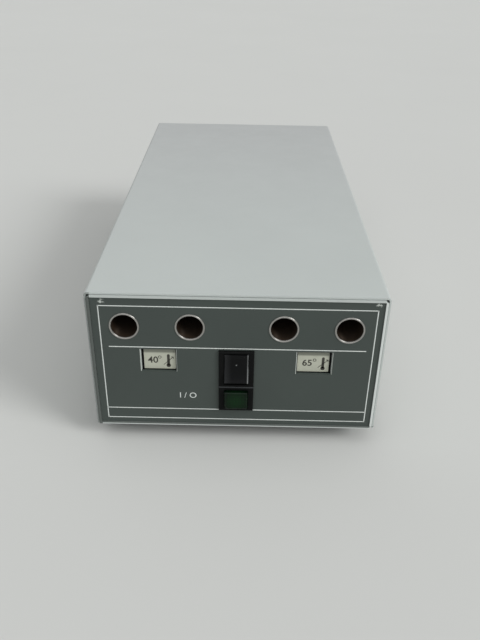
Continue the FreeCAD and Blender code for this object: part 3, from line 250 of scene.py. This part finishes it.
def edge_light_and_shade(tree, apart):
    """Amounts of painted highlight on the right front edge, and of painted shade on the left one and over the
    foot.
    """
    low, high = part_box("front_frame")
    right = node(tree, "ShaderNodeMath", {
        0: apart["X"], 1: high.x - EDGE_W * MM,
    }, operation="GREATER_THAN")
    left = node(tree, "ShaderNodeMath", {0: apart["X"], 1: low.x + EDGE_W * MM}, operation="LESS_THAN")
    corner = node(tree, "ShaderNodeMath", {
        0: apart["Z"], 1: low.z + sum(FOOT_SHADE) / 2 * MM, 2: (FOOT_SHADE[1] - FOOT_SHADE[0]) / 2 * MM,
    }, operation="COMPARE")
    shaded_edges = node(tree, "ShaderNodeMath", {0: left.outputs[0], 1: corner.outputs[0]}, operation="MAXIMUM")
    amounts = []
    for where, (near, far) in ((right, EDGE_HIGHLIGHT_DEPTH), (shaded_edges, EDGE_SHADE_DEPTH)):
        depth = node(tree, "ShaderNodeMapRange", {
            "Value": apart["Y"], "From Min": low.y + near * MM, "From Max": low.y + far * MM,
            "To Min": EDGE_SHARE, "To Max": 0.0,
        })
        amounts.append(node(tree, "ShaderNodeMath", {
            0: where.outputs[0], 1: depth.outputs[0],
        }, operation="MULTIPLY").outputs[0])
    return amounts


def case_enamel():
    """Stoved enamel sprayed on steel: a satin light grey with faint orange peel, specks and hand marks.

    Its front edge carries a painted highlight on the right and painted shade on the left and along the foot,
    and its colour grows darker towards the back.
    """
    made, tree, shader, place = start("light_grey_stoved_enamel", ior=1.5, specular_ior_level=0.42)
    cloud = node(tree, "ShaderNodeTexNoise", {"Vector": place, "Scale": per_mm(ENAMEL_CLOUD), "Detail": 3.0})
    tint = node(tree, "ShaderNodeMix", {
        SHARE: cloud.outputs["Fac"], FIRST: linear("#c0c6c3"), SECOND: linear("#b8bebb"),
    }, data_type="RGBA")
    dust = node(tree, "ShaderNodeTexNoise", {"Vector": place, "Scale": per_mm(ENAMEL_SPECK), "Detail": 2.0})
    speck = node(tree, "ShaderNodeMapRange", {
        "Value": dust.outputs["Fac"], "From Min": SPECK_LIMITS[0], "From Max": SPECK_LIMITS[1],
        "To Max": SPECK_SHARE,
    })
    colour = node(tree, "ShaderNodeMix", {
        SHARE: speck.outputs[0], FIRST: tint.outputs[MIXED], SECOND: linear("#8f9590"),
    }, data_type="RGBA")
    apart = node(tree, "ShaderNodeSeparateXYZ", {"Vector": place}).outputs
    # Pale painted highlight on the right front edge, painted shade on the left one and over the foot
    for amount, wear_and_painted_light in zip(edge_light_and_shade(tree, apart), ("#d6dbd8", "#444a46")):
        colour = node(tree, "ShaderNodeMix", {
            SHARE: amount, FIRST: colour.outputs[MIXED], SECOND: linear(wear_and_painted_light),
        }, data_type="RGBA")
    marks = node(tree, "ShaderNodeTexNoise", {
        "Vector": place, "Scale": per_mm(ENAMEL_MARKS), "Detail": 6.0, "Roughness": 0.7,
    })
    gloss = node(tree, "ShaderNodeMapRange", {
        "Value": marks.outputs["Fac"], "From Min": 0.3, "From Max": 0.7, "To Min": 0.30, "To Max": 0.44,
    })
    peel = node(tree, "ShaderNodeTexNoise", {"Vector": place, "Scale": per_mm(ENAMEL_PEEL), "Detail": 1.0})
    bump = node(tree, "ShaderNodeBump", {"Height": peel.outputs["Fac"], "Distance": ENAMEL_PEEL_H * MM})
    feed(tree, shader, base_color=colour.outputs[MIXED], roughness=gloss.outputs[0], normal=bump.outputs[0])
    low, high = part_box("hood")
    # Colour grows darker from the front to the back
    fade_to(made, "#a1a0a1", "Y", low.y / MM, high.y / MM, BACK_DARKENING_SHARE)
    return made


def bare_bevels(tree, apart, face_y):
    """Mask of the bevels beside the legend windows, which lie behind the fascia's face."""
    out = node(tree, "ShaderNodeMath", {0: apart.outputs["X"]}, operation="ABSOLUTE")
    off = node(tree, "ShaderNodeMath", {0: out.outputs[0], 1: WINDOW_X * MM}, operation="SUBTRACT")
    side = node(tree, "ShaderNodeMath", {0: off.outputs[0]}, operation="ABSOLUTE")
    near = node(tree, "ShaderNodeMath", {
        0: side.outputs[0], 1: (WINDOW_HALF_W - BEVEL / 2) * MM, 2: BEVEL_HALF_MASK * MM,
    }, operation="COMPARE")
    behind = node(tree, "ShaderNodeMath", {
        0: apart.outputs["Y"], 1: face_y + BEVEL_BEHIND * MM,
    }, operation="GREATER_THAN")
    both = node(tree, "ShaderNodeMath", {0: near.outputs[0], 1: behind.outputs[0]}, operation="MULTIPLY")
    return both.outputs[0]


def fascia_lacquer():
    """Grey-green lacquer on an aluminium plate: satin, fine-grained, chipped to metal at two corners."""
    made, tree, shader, place = start("grey_green_lacquer_on_aluminium", ior=1.5, specular_ior_level=0.35)
    cloud = node(tree, "ShaderNodeTexNoise", {"Vector": place, "Scale": per_mm(LACQUER_CLOUD), "Detail": 4.0})
    tint = node(tree, "ShaderNodeMix", {
        SHARE: cloud.outputs["Fac"], FIRST: linear("#444c48"), SECOND: linear("#3d4441"),
    }, data_type="RGBA")
    grain = node(tree, "ShaderNodeTexNoise", {"Vector": place, "Scale": per_mm(LACQUER_GRAIN), "Detail": 3.0})
    wear = node(tree, "ShaderNodeTexNoise", {"Vector": place, "Scale": per_mm(CHIP_GRAIN), "Detail": 5.0})
    apart = node(tree, "ShaderNodeSeparateXYZ", {"Vector": place})
    low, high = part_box("fascia")
    bare = bare_bevels(tree, apart, low.y)
    for side, (inset, drop, flatness, reach) in CHIPS.items():
        x = (low.x if side < 0 else high.x) - side * inset * MM
        spot = node(tree, "ShaderNodeMapping", {
            "Vector": place, "Location": (-x * flatness, 0, drop * MM - high.z), "Scale": (flatness, 0, 1),
        })
        away = node(tree, "ShaderNodeVectorMath", {0: spot.outputs[0]}, operation="LENGTH")
        wear_and_painted_light = node(tree, "ShaderNodeMapRange", {
            "Value": away.outputs["Value"], "From Max": reach * MM, "To Min": CHIP_WEAR, "To Max": 0.0,
        })
        over = node(tree, "ShaderNodeMath", {0: wear_and_painted_light.outputs[0], 1: wear.outputs["Fac"]}, operation="ADD")
        chip = node(tree, "ShaderNodeMapRange", {
            "Value": over.outputs[0], "From Min": CHIP_LIMITS[0], "From Max": CHIP_LIMITS[1],
        })
        bare = node(tree, "ShaderNodeMath", {0: bare, 1: chip.outputs[0]}, operation="MAXIMUM").outputs[0]
    colour = node(tree, "ShaderNodeMix", {
        SHARE: bare, FIRST: tint.outputs[MIXED], SECOND: linear("#b3b8b3"),
    }, data_type="RGBA")
    gloss = node(tree, "ShaderNodeMapRange", {
        "Value": grain.outputs["Fac"], "To Min": 0.42, "To Max": 0.58,
    })
    bump = node(tree, "ShaderNodeBump", {"Height": grain.outputs["Fac"], "Distance": LACQUER_GRAIN_H * MM})
    feed(tree, shader, base_color=colour.outputs[MIXED], roughness=gloss.outputs[0], normal=bump.outputs[0])
    return made


def well_steel():
    """Stainless tube: a bright mouth turned in rings, and a bore that heat has browned and dulled."""
    made, tree, shader, place = start(
        "stainless_tube_heat_browned", roughness=0.40, anisotropic=0.90, anisotropic_rotation=0.25,
    )
    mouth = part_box("well_tube_1")[0].y
    bright, browned = (mouth + depth * MM for depth in WELL_FADE)
    apart = node(tree, "ShaderNodeSeparateXYZ", {"Vector": place})
    deep = node(tree, "ShaderNodeMapRange", {
        "Value": apart.outputs["Y"], "From Min": bright, "From Max": browned,
    })
    stain = node(tree, "ShaderNodeTexNoise", {"Vector": place, "Scale": per_mm(WELL_STAIN), "Detail": 4.0})
    burnt = node(tree, "ShaderNodeMix", {
        SHARE: stain.outputs["Fac"], FIRST: linear("#45372a"), SECOND: linear("#261f18"),
    }, data_type="RGBA")
    colour = node(tree, "ShaderNodeMix", {
        SHARE: deep.outputs[0], FIRST: linear("#b0aeaa"), SECOND: burnt.outputs[MIXED],
    }, data_type="RGBA")
    sheen = node(tree, "ShaderNodeMapRange", {"Value": deep.outputs[0], "To Min": 1.0, "To Max": 0.5})
    grit = node(tree, "ShaderNodeTexNoise", {"Vector": place, "Scale": per_mm(WELL_GRIT), "Detail": 2.0})
    bump = node(tree, "ShaderNodeBump", {"Height": grit.outputs["Fac"], "Distance": WELL_GRIT_H * MM})
    rings = node(tree, "ShaderNodeTangent", direction_type="RADIAL", axis="Y")
    feed(
        tree, shader, base_color=colour.outputs[MIXED], metallic=sheen.outputs[0], normal=bump.outputs[0],
        tangent=rings.outputs[0],
    )
    return made


def spangled_zinc():
    """Galvanised sheet: flat zinc crystals about a centimetre across, each with its own grey and gloss."""
    made, tree, shader, place = start("galvanised_sheet", metallic=1.0)
    crystal = node(tree, "ShaderNodeTexVoronoi", {"Vector": place, "Scale": per_mm(SPANGLE)})
    grey = node(tree, "ShaderNodeSeparateColor", {"Color": crystal.outputs["Color"]})
    tint = node(tree, "ShaderNodeMix", {
        SHARE: grey.outputs[0], FIRST: linear("#8d9193"), SECOND: linear("#a9adae"),
    }, data_type="RGBA")
    gloss = node(tree, "ShaderNodeMapRange", {
        "Value": grey.outputs[1], "To Min": 0.34, "To Max": 0.52,
    })
    dents = node(tree, "ShaderNodeTexNoise", {"Vector": place, "Scale": per_mm(ZINC_DENT), "Detail": 3.0})
    bump = node(tree, "ShaderNodeBump", {"Height": dents.outputs["Fac"], "Distance": ZINC_DENT_H * MM})
    feed(tree, shader, base_color=tint.outputs[MIXED], roughness=gloss.outputs[0], normal=bump.outputs[0])
    return made


def pilot_green():
    """Green polycarbonate cap, unlit: clear gloss outside; its colour carries a painted glow from the middle
    and painted light on the ridges of a moulded prism grid behind the face.
    """
    made, tree, shader, place = start(
        "green_polycarbonate", ior=1.58, roughness=0.09, specular_ior_level=0.12,
    )
    low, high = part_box("pilot_lens")
    middle = (low + high) / 2
    apart = node(tree, "ShaderNodeSeparateXYZ", {"Vector": place}).outputs
    slopes = [
        node(tree, "ShaderNodeMath", {0: apart[axis], 1: PRISM / 2 * MM}, operation="PINGPONG").outputs[0]
        for axis in ("X", "Z")
    ]
    ridge = node(tree, "ShaderNodeMath", {0: slopes[0], 1: slopes[1]}, operation="MINIMUM")
    facet = node(tree, "ShaderNodeMapRange", {
        "Value": ridge.outputs[0], "From Max": PRISM / 2 * MM, "To Min": PRISM_VALLEY,
    })
    spot = node(tree, "ShaderNodeMapping", {
        "Vector": place, "Location": (-middle.x, 0, -middle.z), "Scale": (1, 0, 1),
    })
    away = node(tree, "ShaderNodeVectorMath", {0: spot.outputs[0]}, operation="LENGTH")
    glow = node(tree, "ShaderNodeMapRange", {
        "Value": away.outputs["Value"], "From Min": GLOW[0] * MM, "From Max": GLOW[1] * MM,
        "To Min": 1.0, "To Max": 0.0,
    })
    # Painted light: a glow from the middle, brighter on the prism ridges
    lit = node(tree, "ShaderNodeMath", {0: glow.outputs[0], 1: facet.outputs[0]}, operation="MULTIPLY")
    colour = node(tree, "ShaderNodeMix", {
        SHARE: lit.outputs[0], FIRST: linear("#030e06"), SECOND: linear("#092c10"),
    }, data_type="RGBA")
    feed(tree, shader, base_color=colour.outputs[MIXED])
    return made


def legend_acrylic():
    """Opal acrylic plate gone cream with age: even and matt, with a painted shadow from the window's upper
    edge across its top.
    """
    made = grained("aged_opal_acrylic", "#bfc1b2", "#adafa0", 5.0, (0.4, 0.65), 0.02, specular_ior_level=0.4)
    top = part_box("legend_plate_left")[1].z / MM
    # Painted shadow cast by the window's upper edge on the top of the plate
    fade_to(made, "#565a51", "Z", top - LEGEND_SHADOW[1], top - LEGEND_SHADOW[0], LEGEND_SHADOW_SHARE)
    return made


def rocker_polycarbonate():
    """Black polycarbonate, smooth, with a painted sheen towards the left and a painted highlight along its
    right edge.
    """
    made = grained(
        "black_polycarbonate", "#090a0b", "#0c0d0e", 6.0, (0.24, 0.38), 0.004,
        ior=1.58, specular_ior_level=0.09,
    )
    # Painted highlight along the right edge, then painted sheen towards the left edge
    fade_to(made, "#737575", "X", ROCKER_HALF_W - ROCKER_EDGE_HIGHLIGHT[0], ROCKER_HALF_W - ROCKER_EDGE_HIGHLIGHT[1])
    fade_to(made, "#252627", "X", ROCKER_SHEEN - ROCKER_HALF_W, -ROCKER_HALF_W)
    return made


def moulded_polyamide(name):
    """Black moulded polyamide with a fine spark-eroded grain: dull, with little sheen."""
    return grained(name, "#080909", "#0e0f0f", 0.45, (0.45, 0.62), 0.015, specular_ior_level=0.09)


def pilot_polyamide():
    """Moulded polyamide as on the other housings, with a painted highlight along its upper edge under the
    switch.
    """
    made = moulded_polyamide("black_polyamide_painted_highlight")
    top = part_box("pilot_housing")[1].z / MM
    # Painted highlight along the upper edge
    fade_to(made, "#3b3d3e", "Z", top - PILOT_EDGE_HIGHLIGHT[0], top - PILOT_EDGE_HIGHLIGHT[1])
    return made


ENAMEL = case_enamel()
LACQUER = fascia_lacquer()
WELL_STEEL = well_steel()
GALVANISED = spangled_zinc()
PILOT_GREEN = pilot_green()
OPAL = legend_acrylic()
ROCKER_BLACK = rocker_polycarbonate()
POLYAMIDE = moulded_polyamide("black_polyamide")
PILOT_BLACK = pilot_polyamide()

# Grained finishes: two colours, size of the grain, range of roughness, height of the relief, stretch
# Zinc-plated screws: bright grey with a faint yellow passivation
ZINC_PLATE = grained("zinc_plated_steel", "#b7b6ae", "#9a9a94", 0.8, (0.25, 0.42), 0.01, metallic=1.0)
# Drawn stainless sheath of the cartridges and well caps: fine streaks along it
SHEATH = grained("drawn_stainless", "#a8a6a2", "#8f8d8a", 0.7, (0.25, 0.4), 0.01, (1, 0.05, 1), metallic=1.0)
# Milled aluminium: cutter marks along the block
MILLED = grained("milled_aluminium", "#b3b5b7", "#9c9ea0", 0.9, (0.3, 0.45), 0.02, (1, 0.04, 1), metallic=1.0)
# Moulded rubber feet with a dull bloom
RUBBER = grained("black_rubber", "#1a1a1a", "#262625", 1.2, (0.7, 0.9), 0.03, specular_ior_level=0.25)
# Compressed mineral fibre: tan, dry and matted
FIBRE = grained("mineral_fibre_board", "#a8987a", "#857759", 1.6, (0.85, 1.0), 0.2, (1, 0.3, 1))
# Glazed steatite bodies of the thermostats: cream, half gloss
STEATITE = grained("steatite_ceramic", "#d8d3c6", "#c4beb0", 1.0, (0.35, 0.55), 0.02)
# Nickel-plated brass pins and blades: warm and bright
CONTACT_METAL = grained("nickel_plated_brass", "#c6bfa9", "#ab9f80", 0.6, (0.2, 0.35), 0.005, metallic=1.0)
# Natural polyamide of the terminal strip and clips: cream and waxy
NATURAL_PA = grained("natural_polyamide", "#d9d4c4", "#c9c3b1", 1.4, (0.4, 0.55), 0.01)
# Heat-proof silicone covers of the wires: brown and soft
SILICONE = grained("brown_silicone_cover", "#6a4a38", "#57402f", 0.9, (0.4, 0.55), 0.01)
# Soda-lime glass of lamps and fuses: clear, with hardly a wave
GLASS = grained("lamp_glass", "#dfe3e1", "#cfd5d2", 3.0, (0.04, 0.09), 0.002, transmission_weight=0.8)
# White screen ink, slightly uneven where the mesh lifted
WHITE_INK = grained("white_screen_ink", "#e6eae7", "#ccd2ce", 1.3, (0.5, 0.65), 0.004)
# Dark brown-black screen ink of the legends
DARK_INK = grained("dark_screen_ink", "#2b2a25", "#3d3b34", 0.7, (0.5, 0.65), 0.004)
# Grey dot moulded into the rocker
DOT_GREY = grained("grey_inlay", "#6f7271", "#5f6261", 0.4, (0.4, 0.55), 0.004)


def pairs(*names):
    """Names of pieces that stand on the left and on the right."""
    return [f"{name}_{side}" for name in names for side in SIDES]


FINISH_OF = {
    ENAMEL: ["hood", "front_frame", "rear_frame"],
    LACQUER: ["fascia"],
    WELL_STEEL: [f"well_tube_{number}" for number in (1, 2, 3, 4)],
    GALVANISED: ["base_plate", "support_front", "support_rear"],
    ZINC_PLATE: [
        "hood_screws", "frame_screws", "foot_screws", "foot_nuts", "support_rivets", "block_screws",
        "inlet_screws", "terminal_screws", *pairs("clamp_bolts"),
    ],
    SHEATH: ["well_caps", *pairs("cartridge_heater")],
    MILLED: pairs("block_upper", "block_lower"),
    STEATITE: pairs("thermostat", "thermal_cutout"),
    FIBRE: ["insulation_lower", "insulation_upper"],
    POLYAMIDE: ["switch_housing", "inlet_housing", "fuse_drawer", *pairs("legend_housing")],
    PILOT_BLACK: ["pilot_housing"],
    ROCKER_BLACK: ["mains_rocker"],
    NATURAL_PA: ["rocker_plunger", "terminal_strip", "wire_clips"],
    CONTACT_METAL: ["contact_bridge", "switch_blades", "inlet_pins"],
    PILOT_GREEN: ["pilot_lens"],
    OPAL: pairs("legend_plate"),
    GLASS: ["pilot_lamp", "fuses", *pairs("legend_lamp")],
    SILICONE: ["wiring_front", "wiring_rear"],
    RUBBER: pairs("foot_front", "foot_rear"),
}


def dress_nodes():
    """Give every node of the model its finish."""
    bare = set(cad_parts)
    for finish, names in FINISH_OF.items():
        for name in names:
            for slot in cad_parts[name].material_slots:
                slot.material = finish
            bare.discard(name)
    assert not bare, f"no finish for {sorted(bare)}"


# Printed pieces

def printed_line_tree():
    """Node tree that turns edges in the XY plane into ink lines and stands them up on a front face."""
    tree = bpy.data.node_groups.new("printed_line", "GeometryNodeTree")
    given_as = {
        "Path": "Geometry", "Line width": "Float", "Ink thickness": "Float", "Face": "Vector",
        "Ink": "Material",
    }
    for name, kind in given_as.items():
        tree.interface.new_socket(name, in_out="INPUT", socket_type=f"NodeSocket{kind}")
    tree.interface.new_socket("Print", in_out="OUTPUT", socket_type="NodeSocketGeometry")
    given = node(tree, "NodeGroupInput").outputs
    path = node(tree, "GeometryNodeMeshToCurve", {"Mesh": given["Path"]})
    upright = node(tree, "GeometryNodeSetCurveNormal", {"Curve": path.outputs[0]}, mode="Z_UP")
    section = node(tree, "GeometryNodeCurvePrimitiveQuadrilateral", {
        "Width": given["Line width"], "Height": given["Ink thickness"],
    })
    ribbon = node(tree, "GeometryNodeCurveToMesh", {
        "Curve": upright.outputs[0], "Profile Curve": section.outputs[0], "Fill Caps": True,
    })
    stood = node(tree, "GeometryNodeTransform", {
        "Geometry": ribbon.outputs[0], "Translation": given["Face"], "Rotation": (math.pi / 2, 0, 0),
    })
    real = node(tree, "GeometryNodeRealizeInstances", {"Geometry": stood.outputs[0]})
    inked = node(tree, "GeometryNodeSetMaterial", {"Geometry": real.outputs[0], "Material": given["Ink"]})
    node(tree, "NodeGroupOutput", {"Print": inked.outputs[0]})
    return tree


PRINTED_LINE = printed_line_tree()


def settle(piece, mesh, body):
    """Give a piece its finished mesh and its place in the model."""
    piece.modifiers.clear()
    piece.data = mesh
    mesh.name = piece.name
    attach(piece, body)


def new_piece(name, mesh):
    """A new object at the origin."""
    piece = bpy.data.objects.new(name, mesh)
    bpy.context.scene.collection.objects.link(piece)
    return piece


def print_lines(name, lines, width, face_y, ink):
    """Ink lines between pairs of points (x, z) in millimetres, on a front face."""
    points = [(x * MM, z * MM, 0) for line in lines for x, z in line]
    edges = [(at, at + 1) for at in range(0, len(points), 2)]
    path = bpy.data.meshes.new(name)
    path.from_pydata(points, edges, [])
    piece = new_piece(name, path)
    maker = piece.modifiers.new("printed_line", "NODES")
    maker.node_group = PRINTED_LINE
    values = {
        "Line width": width * MM, "Ink thickness": (INK_T + INK_SINK) * MM,
        "Face": (0, face_y - (INK_T - INK_SINK) / 2 * MM, 0), "Ink": ink,
    }
    for item in PRINTED_LINE.interface.items_tree:
        if item.name in values:
            maker[item.identifier] = values[item.name]
    ready = piece.evaluated_get(bpy.context.evaluated_depsgraph_get())
    settle(piece, bpy.data.meshes.new_from_object(ready), "case")


def print_shapes(name, outlines, face_y, ink):
    """Solid ink areas from closed outlines of points (x, z) in millimetres, on a front face."""
    made = bmesh.new()
    for outline in outlines:
        corners = [made.verts.new((x * MM, face_y - INK_T * MM, z * MM)) for x, z in outline]
        made.faces.new(corners)
    bmesh.ops.recalc_face_normals(made, faces=made.faces)
    flat = list(made.faces)
    grown = bmesh.ops.extrude_face_region(made, geom=flat, use_keep_orig=True)
    moved = [part for part in grown["geom"] if isinstance(part, bmesh.types.BMVert)]
    bmesh.ops.translate(made, verts=moved, vec=(0, (INK_T + INK_SINK) * MM, 0))
    bmesh.ops.recalc_face_normals(made, faces=made.faces)
    mesh = bpy.data.meshes.new(name)
    made.to_mesh(mesh)
    made.free()
    mesh.materials.append(ink)
    settle(new_piece(name, mesh), mesh, "case")


def print_words(name, words, at, height, weight, face_y, ink):
    """Ink letters of a height, with their lower left corner at (x, z) in millimetres, on a front face.

    The weight thickens the strokes, as a share of the type size.
    """
    curve = bpy.data.curves.new(name, "FONT")
    curve.body = words
    curve.offset = weight
    curve.extrude = (INK_T + INK_SINK) / 2 * MM
    flat = new_piece(name + "_outline", curve)
    mesh = bpy.data.meshes.new_from_object(flat.evaluated_get(bpy.context.evaluated_depsgraph_get()))
    bpy.data.objects.remove(flat)
    low = [min(vertex.co[axis] for vertex in mesh.vertices) for axis in (0, 1)]
    tall = max(vertex.co.y for vertex in mesh.vertices) - low[1]
    size = height * MM / tall
    middle = face_y - (INK_T - INK_SINK) / 2 * MM
    for vertex in mesh.vertices:
        x, z, depth = vertex.co
        vertex.co = ((x - low[0]) * size + at[0] * MM, middle - depth, (z - low[1]) * size + at[1] * MM)
    mesh.materials.clear()
    mesh.materials.append(ink)
    settle(new_piece(name, mesh), mesh, "case")


def ring_points(x, z, radius):
    """Points round a circle."""
    turns = [2 * math.pi * step / CIRCLE_POINTS for step in range(CIRCLE_POINTS)]
    return [(x + radius * math.cos(turn), z + radius * math.sin(turn)) for turn in turns]


def print_fascia():
    """Border, row line, strip line and switch marks on the fascia."""
    face_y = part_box("fascia")[0].y
    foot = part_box("hood")[0].z / MM
    low, high = (foot + z for z in BORDER_Z)
    half = LINE_W / 2
    lines = [((x, low - half), (x, high + half)) for x in BORDER_X]
    lines += [[(x, z) for x in BORDER_X] for z in (low, high, foot + STRIP_LINE_Z)]
    lines.append([(x, foot + ROW_LINE_Z) for x in ROW_LINE_X])
    print_lines("fascia_lines", lines, LINE_W, face_y, WHITE_INK)
    marks_at = (SWITCH_MARKS_X, foot + SWITCH_MARKS_Z)
    print_words(
        "switch_marks", SWITCH_MARKS, marks_at, SWITCH_MARKS_H, 0.0, face_y, WHITE_INK,
    )


def print_legend(side):
    """Temperature and a thermometer crossed by an arrow on a legend plate."""
    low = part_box(f"legend_plate_{side}")[0]
    left = low.x / MM + LEGEND_START[side]
    foot = low.z / MM
    print_words(
        f"legend_numeral_{side}", LEGENDS[side], (left, foot + NUMERAL_Z), NUMERAL_H, NUMERAL_WEIGHT, low.y,
        DARK_INK,
    )
    x = left + STEM_X
    stem_low, stem_high = (foot + z for z in STEM_Z)
    cap = [point for point in ring_points(x, stem_high, STEM_W / 2) if point[1] >= stem_high]
    stem = [(x + STEM_W / 2, stem_low)] + cap + [(x - STEM_W / 2, stem_low)]
    bulb = ring_points(x, foot + BULB_Z, BULB_R)
    print_shapes(f"legend_thermometer_{side}", [stem, bulb], low.y, DARK_INK)
    tail = (x - ARROW_REACH, foot + ARROW_Z[0])
    tip = (x + ARROW_REACH, foot + ARROW_Z[1])
    ring = ring_points(left + DEGREE_X, foot + DEGREE_Z, DEGREE_R)
    lines = [(tail, tip), (tip, (tip[0] - ARROW_HEAD, tip[1])), (tip, (tip[0], tip[1] - ARROW_HEAD))]
    lines += list(zip(ring, ring[1:] + ring[:1]))
    print_lines(f"legend_arrow_{side}", lines, FINE_LINE_W, low.y, DARK_INK)


def inlay_dot():
    """Round dot set in the upper half of the rocker's face."""
    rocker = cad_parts["mains_rocker"]
    low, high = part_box("mains_rocker")
    from_front = Vector((0, low.y - SIGHT_START * MM, (low.z + high.z) / 2 + DOT_RISE * MM))
    hit, place, normal, _ = rocker.ray_cast(from_front, Vector((0, 1, 0)))
    assert hit, "the rocker's face wasn't found"
    made = bmesh.new()
    bmesh.ops.create_cone(
        made, cap_ends=True, segments=DOT_CORNERS, radius1=DOT_R * MM, radius2=DOT_R * DOT_TAPER * MM,
        depth=2 * INK_T * MM,
    )
    turn = normal.to_track_quat("Z", "Y").to_matrix().to_4x4()
    bmesh.ops.transform(made, matrix=Matrix.Translation(place) @ turn, verts=made.verts)
    mesh = bpy.data.meshes.new("rocker_dot")
    made.to_mesh(mesh)
    made.free()
    mesh.materials.append(DOT_GREY)
    settle(new_piece("rocker_dot", mesh), mesh, "rocker")


# Stage

def set_floor():
    """Plain pale floor that keeps the object's shadow."""
    mesh = bpy.data.meshes.new("floor")
    corners = [(x * FLOOR_REACH, y * FLOOR_REACH, 0) for x, y in ((-1, -1), (1, -1), (1, 1), (-1, 1))]
    mesh.from_pydata(corners, [], [(0, 1, 2, 3)])
    mesh.materials.append(grained("pale_floor", "#cfd0cd", "#cbccc9", 400.0, (0.75, 0.85), 0.0))
    floor = new_piece("floor", mesh)


def set_light():
    """Soft studio light: an even pale surround, a broad lamp overhead and a smaller one high on the right."""
    world = bpy.data.worlds.new("studio")
    bpy.context.scene.world = world
    world.use_nodes = True
    tree = world.node_tree
    ground = tree.nodes["Background"]
    ground.inputs["Color"].default_value = linear("#e8eaeb")
    rays = node(tree, "ShaderNodeLightPath").outputs
    seen = rays["Is Camera Ray"]
    for kind in ("Is Glossy Ray", "Is Transmission Ray"):
        seen = node(tree, "ShaderNodeMath", {0: seen, 1: rays[kind]}, operation="MAXIMUM").outputs[0]
    strength = node(tree, "ShaderNodeMapRange", {
        "Value": seen, "To Min": SURROUND_LEVEL, "To Max": BACKDROP_LEVEL,
    })
    tree.links.new(strength.outputs[0], ground.inputs["Strength"])
    for name, (comes_from, level, spread) in LAMPS.items():
        lamp = bpy.data.lights.new(name, "SUN")
        lamp.energy = level
        lamp.angle = math.radians(spread)
        hung = bpy.data.objects.new(name, lamp)
        hung.rotation_euler = Vector(comes_from).to_track_quat("Z", "Y").to_euler()
        bpy.context.scene.collection.objects.link(hung)
    bpy.context.scene.view_settings.view_transform = "Standard"


def set_camera():
    """Camera at the photograph's viewpoint."""
    data = bpy.data.cameras.new("camera")
    data.sensor_fit = "VERTICAL"
    data.sensor_height = SENSOR_H
    data.lens = SENSOR_H * FOCAL_PX / FRAME_H_PX
    data.clip_start, data.clip_end = SIGHT
    camera = bpy.data.objects.new("camera", data)
    bpy.context.scene.collection.objects.link(camera)
    yaw, pitch, roll = (math.radians(angle) for angle in (CAMERA_YAW, CAMERA_PITCH, CAMERA_ROLL))
    aim = Matrix.Rotation(yaw, 3, "Z") @ Matrix.Rotation(-pitch, 3, "X")
    right, ahead, up = aim.col
    across = right * math.cos(roll) + up * math.sin(roll)
    above = up * math.cos(roll) - right * math.sin(roll)
    turn = Matrix((across, above, -ahead)).transposed()
    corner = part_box("front_frame")[0]
    place = Vector((0, corner.y, corner.z)) + Vector(CAMERA_FROM) * MM
    camera.matrix_world = Matrix.Translation(place) @ turn.to_4x4()
    bpy.context.scene.camera = camera


dress_nodes()
print_fascia()
for side in SIDES:
    print_legend(side)
inlay_dot()
set_floor()
set_light()
set_camera()
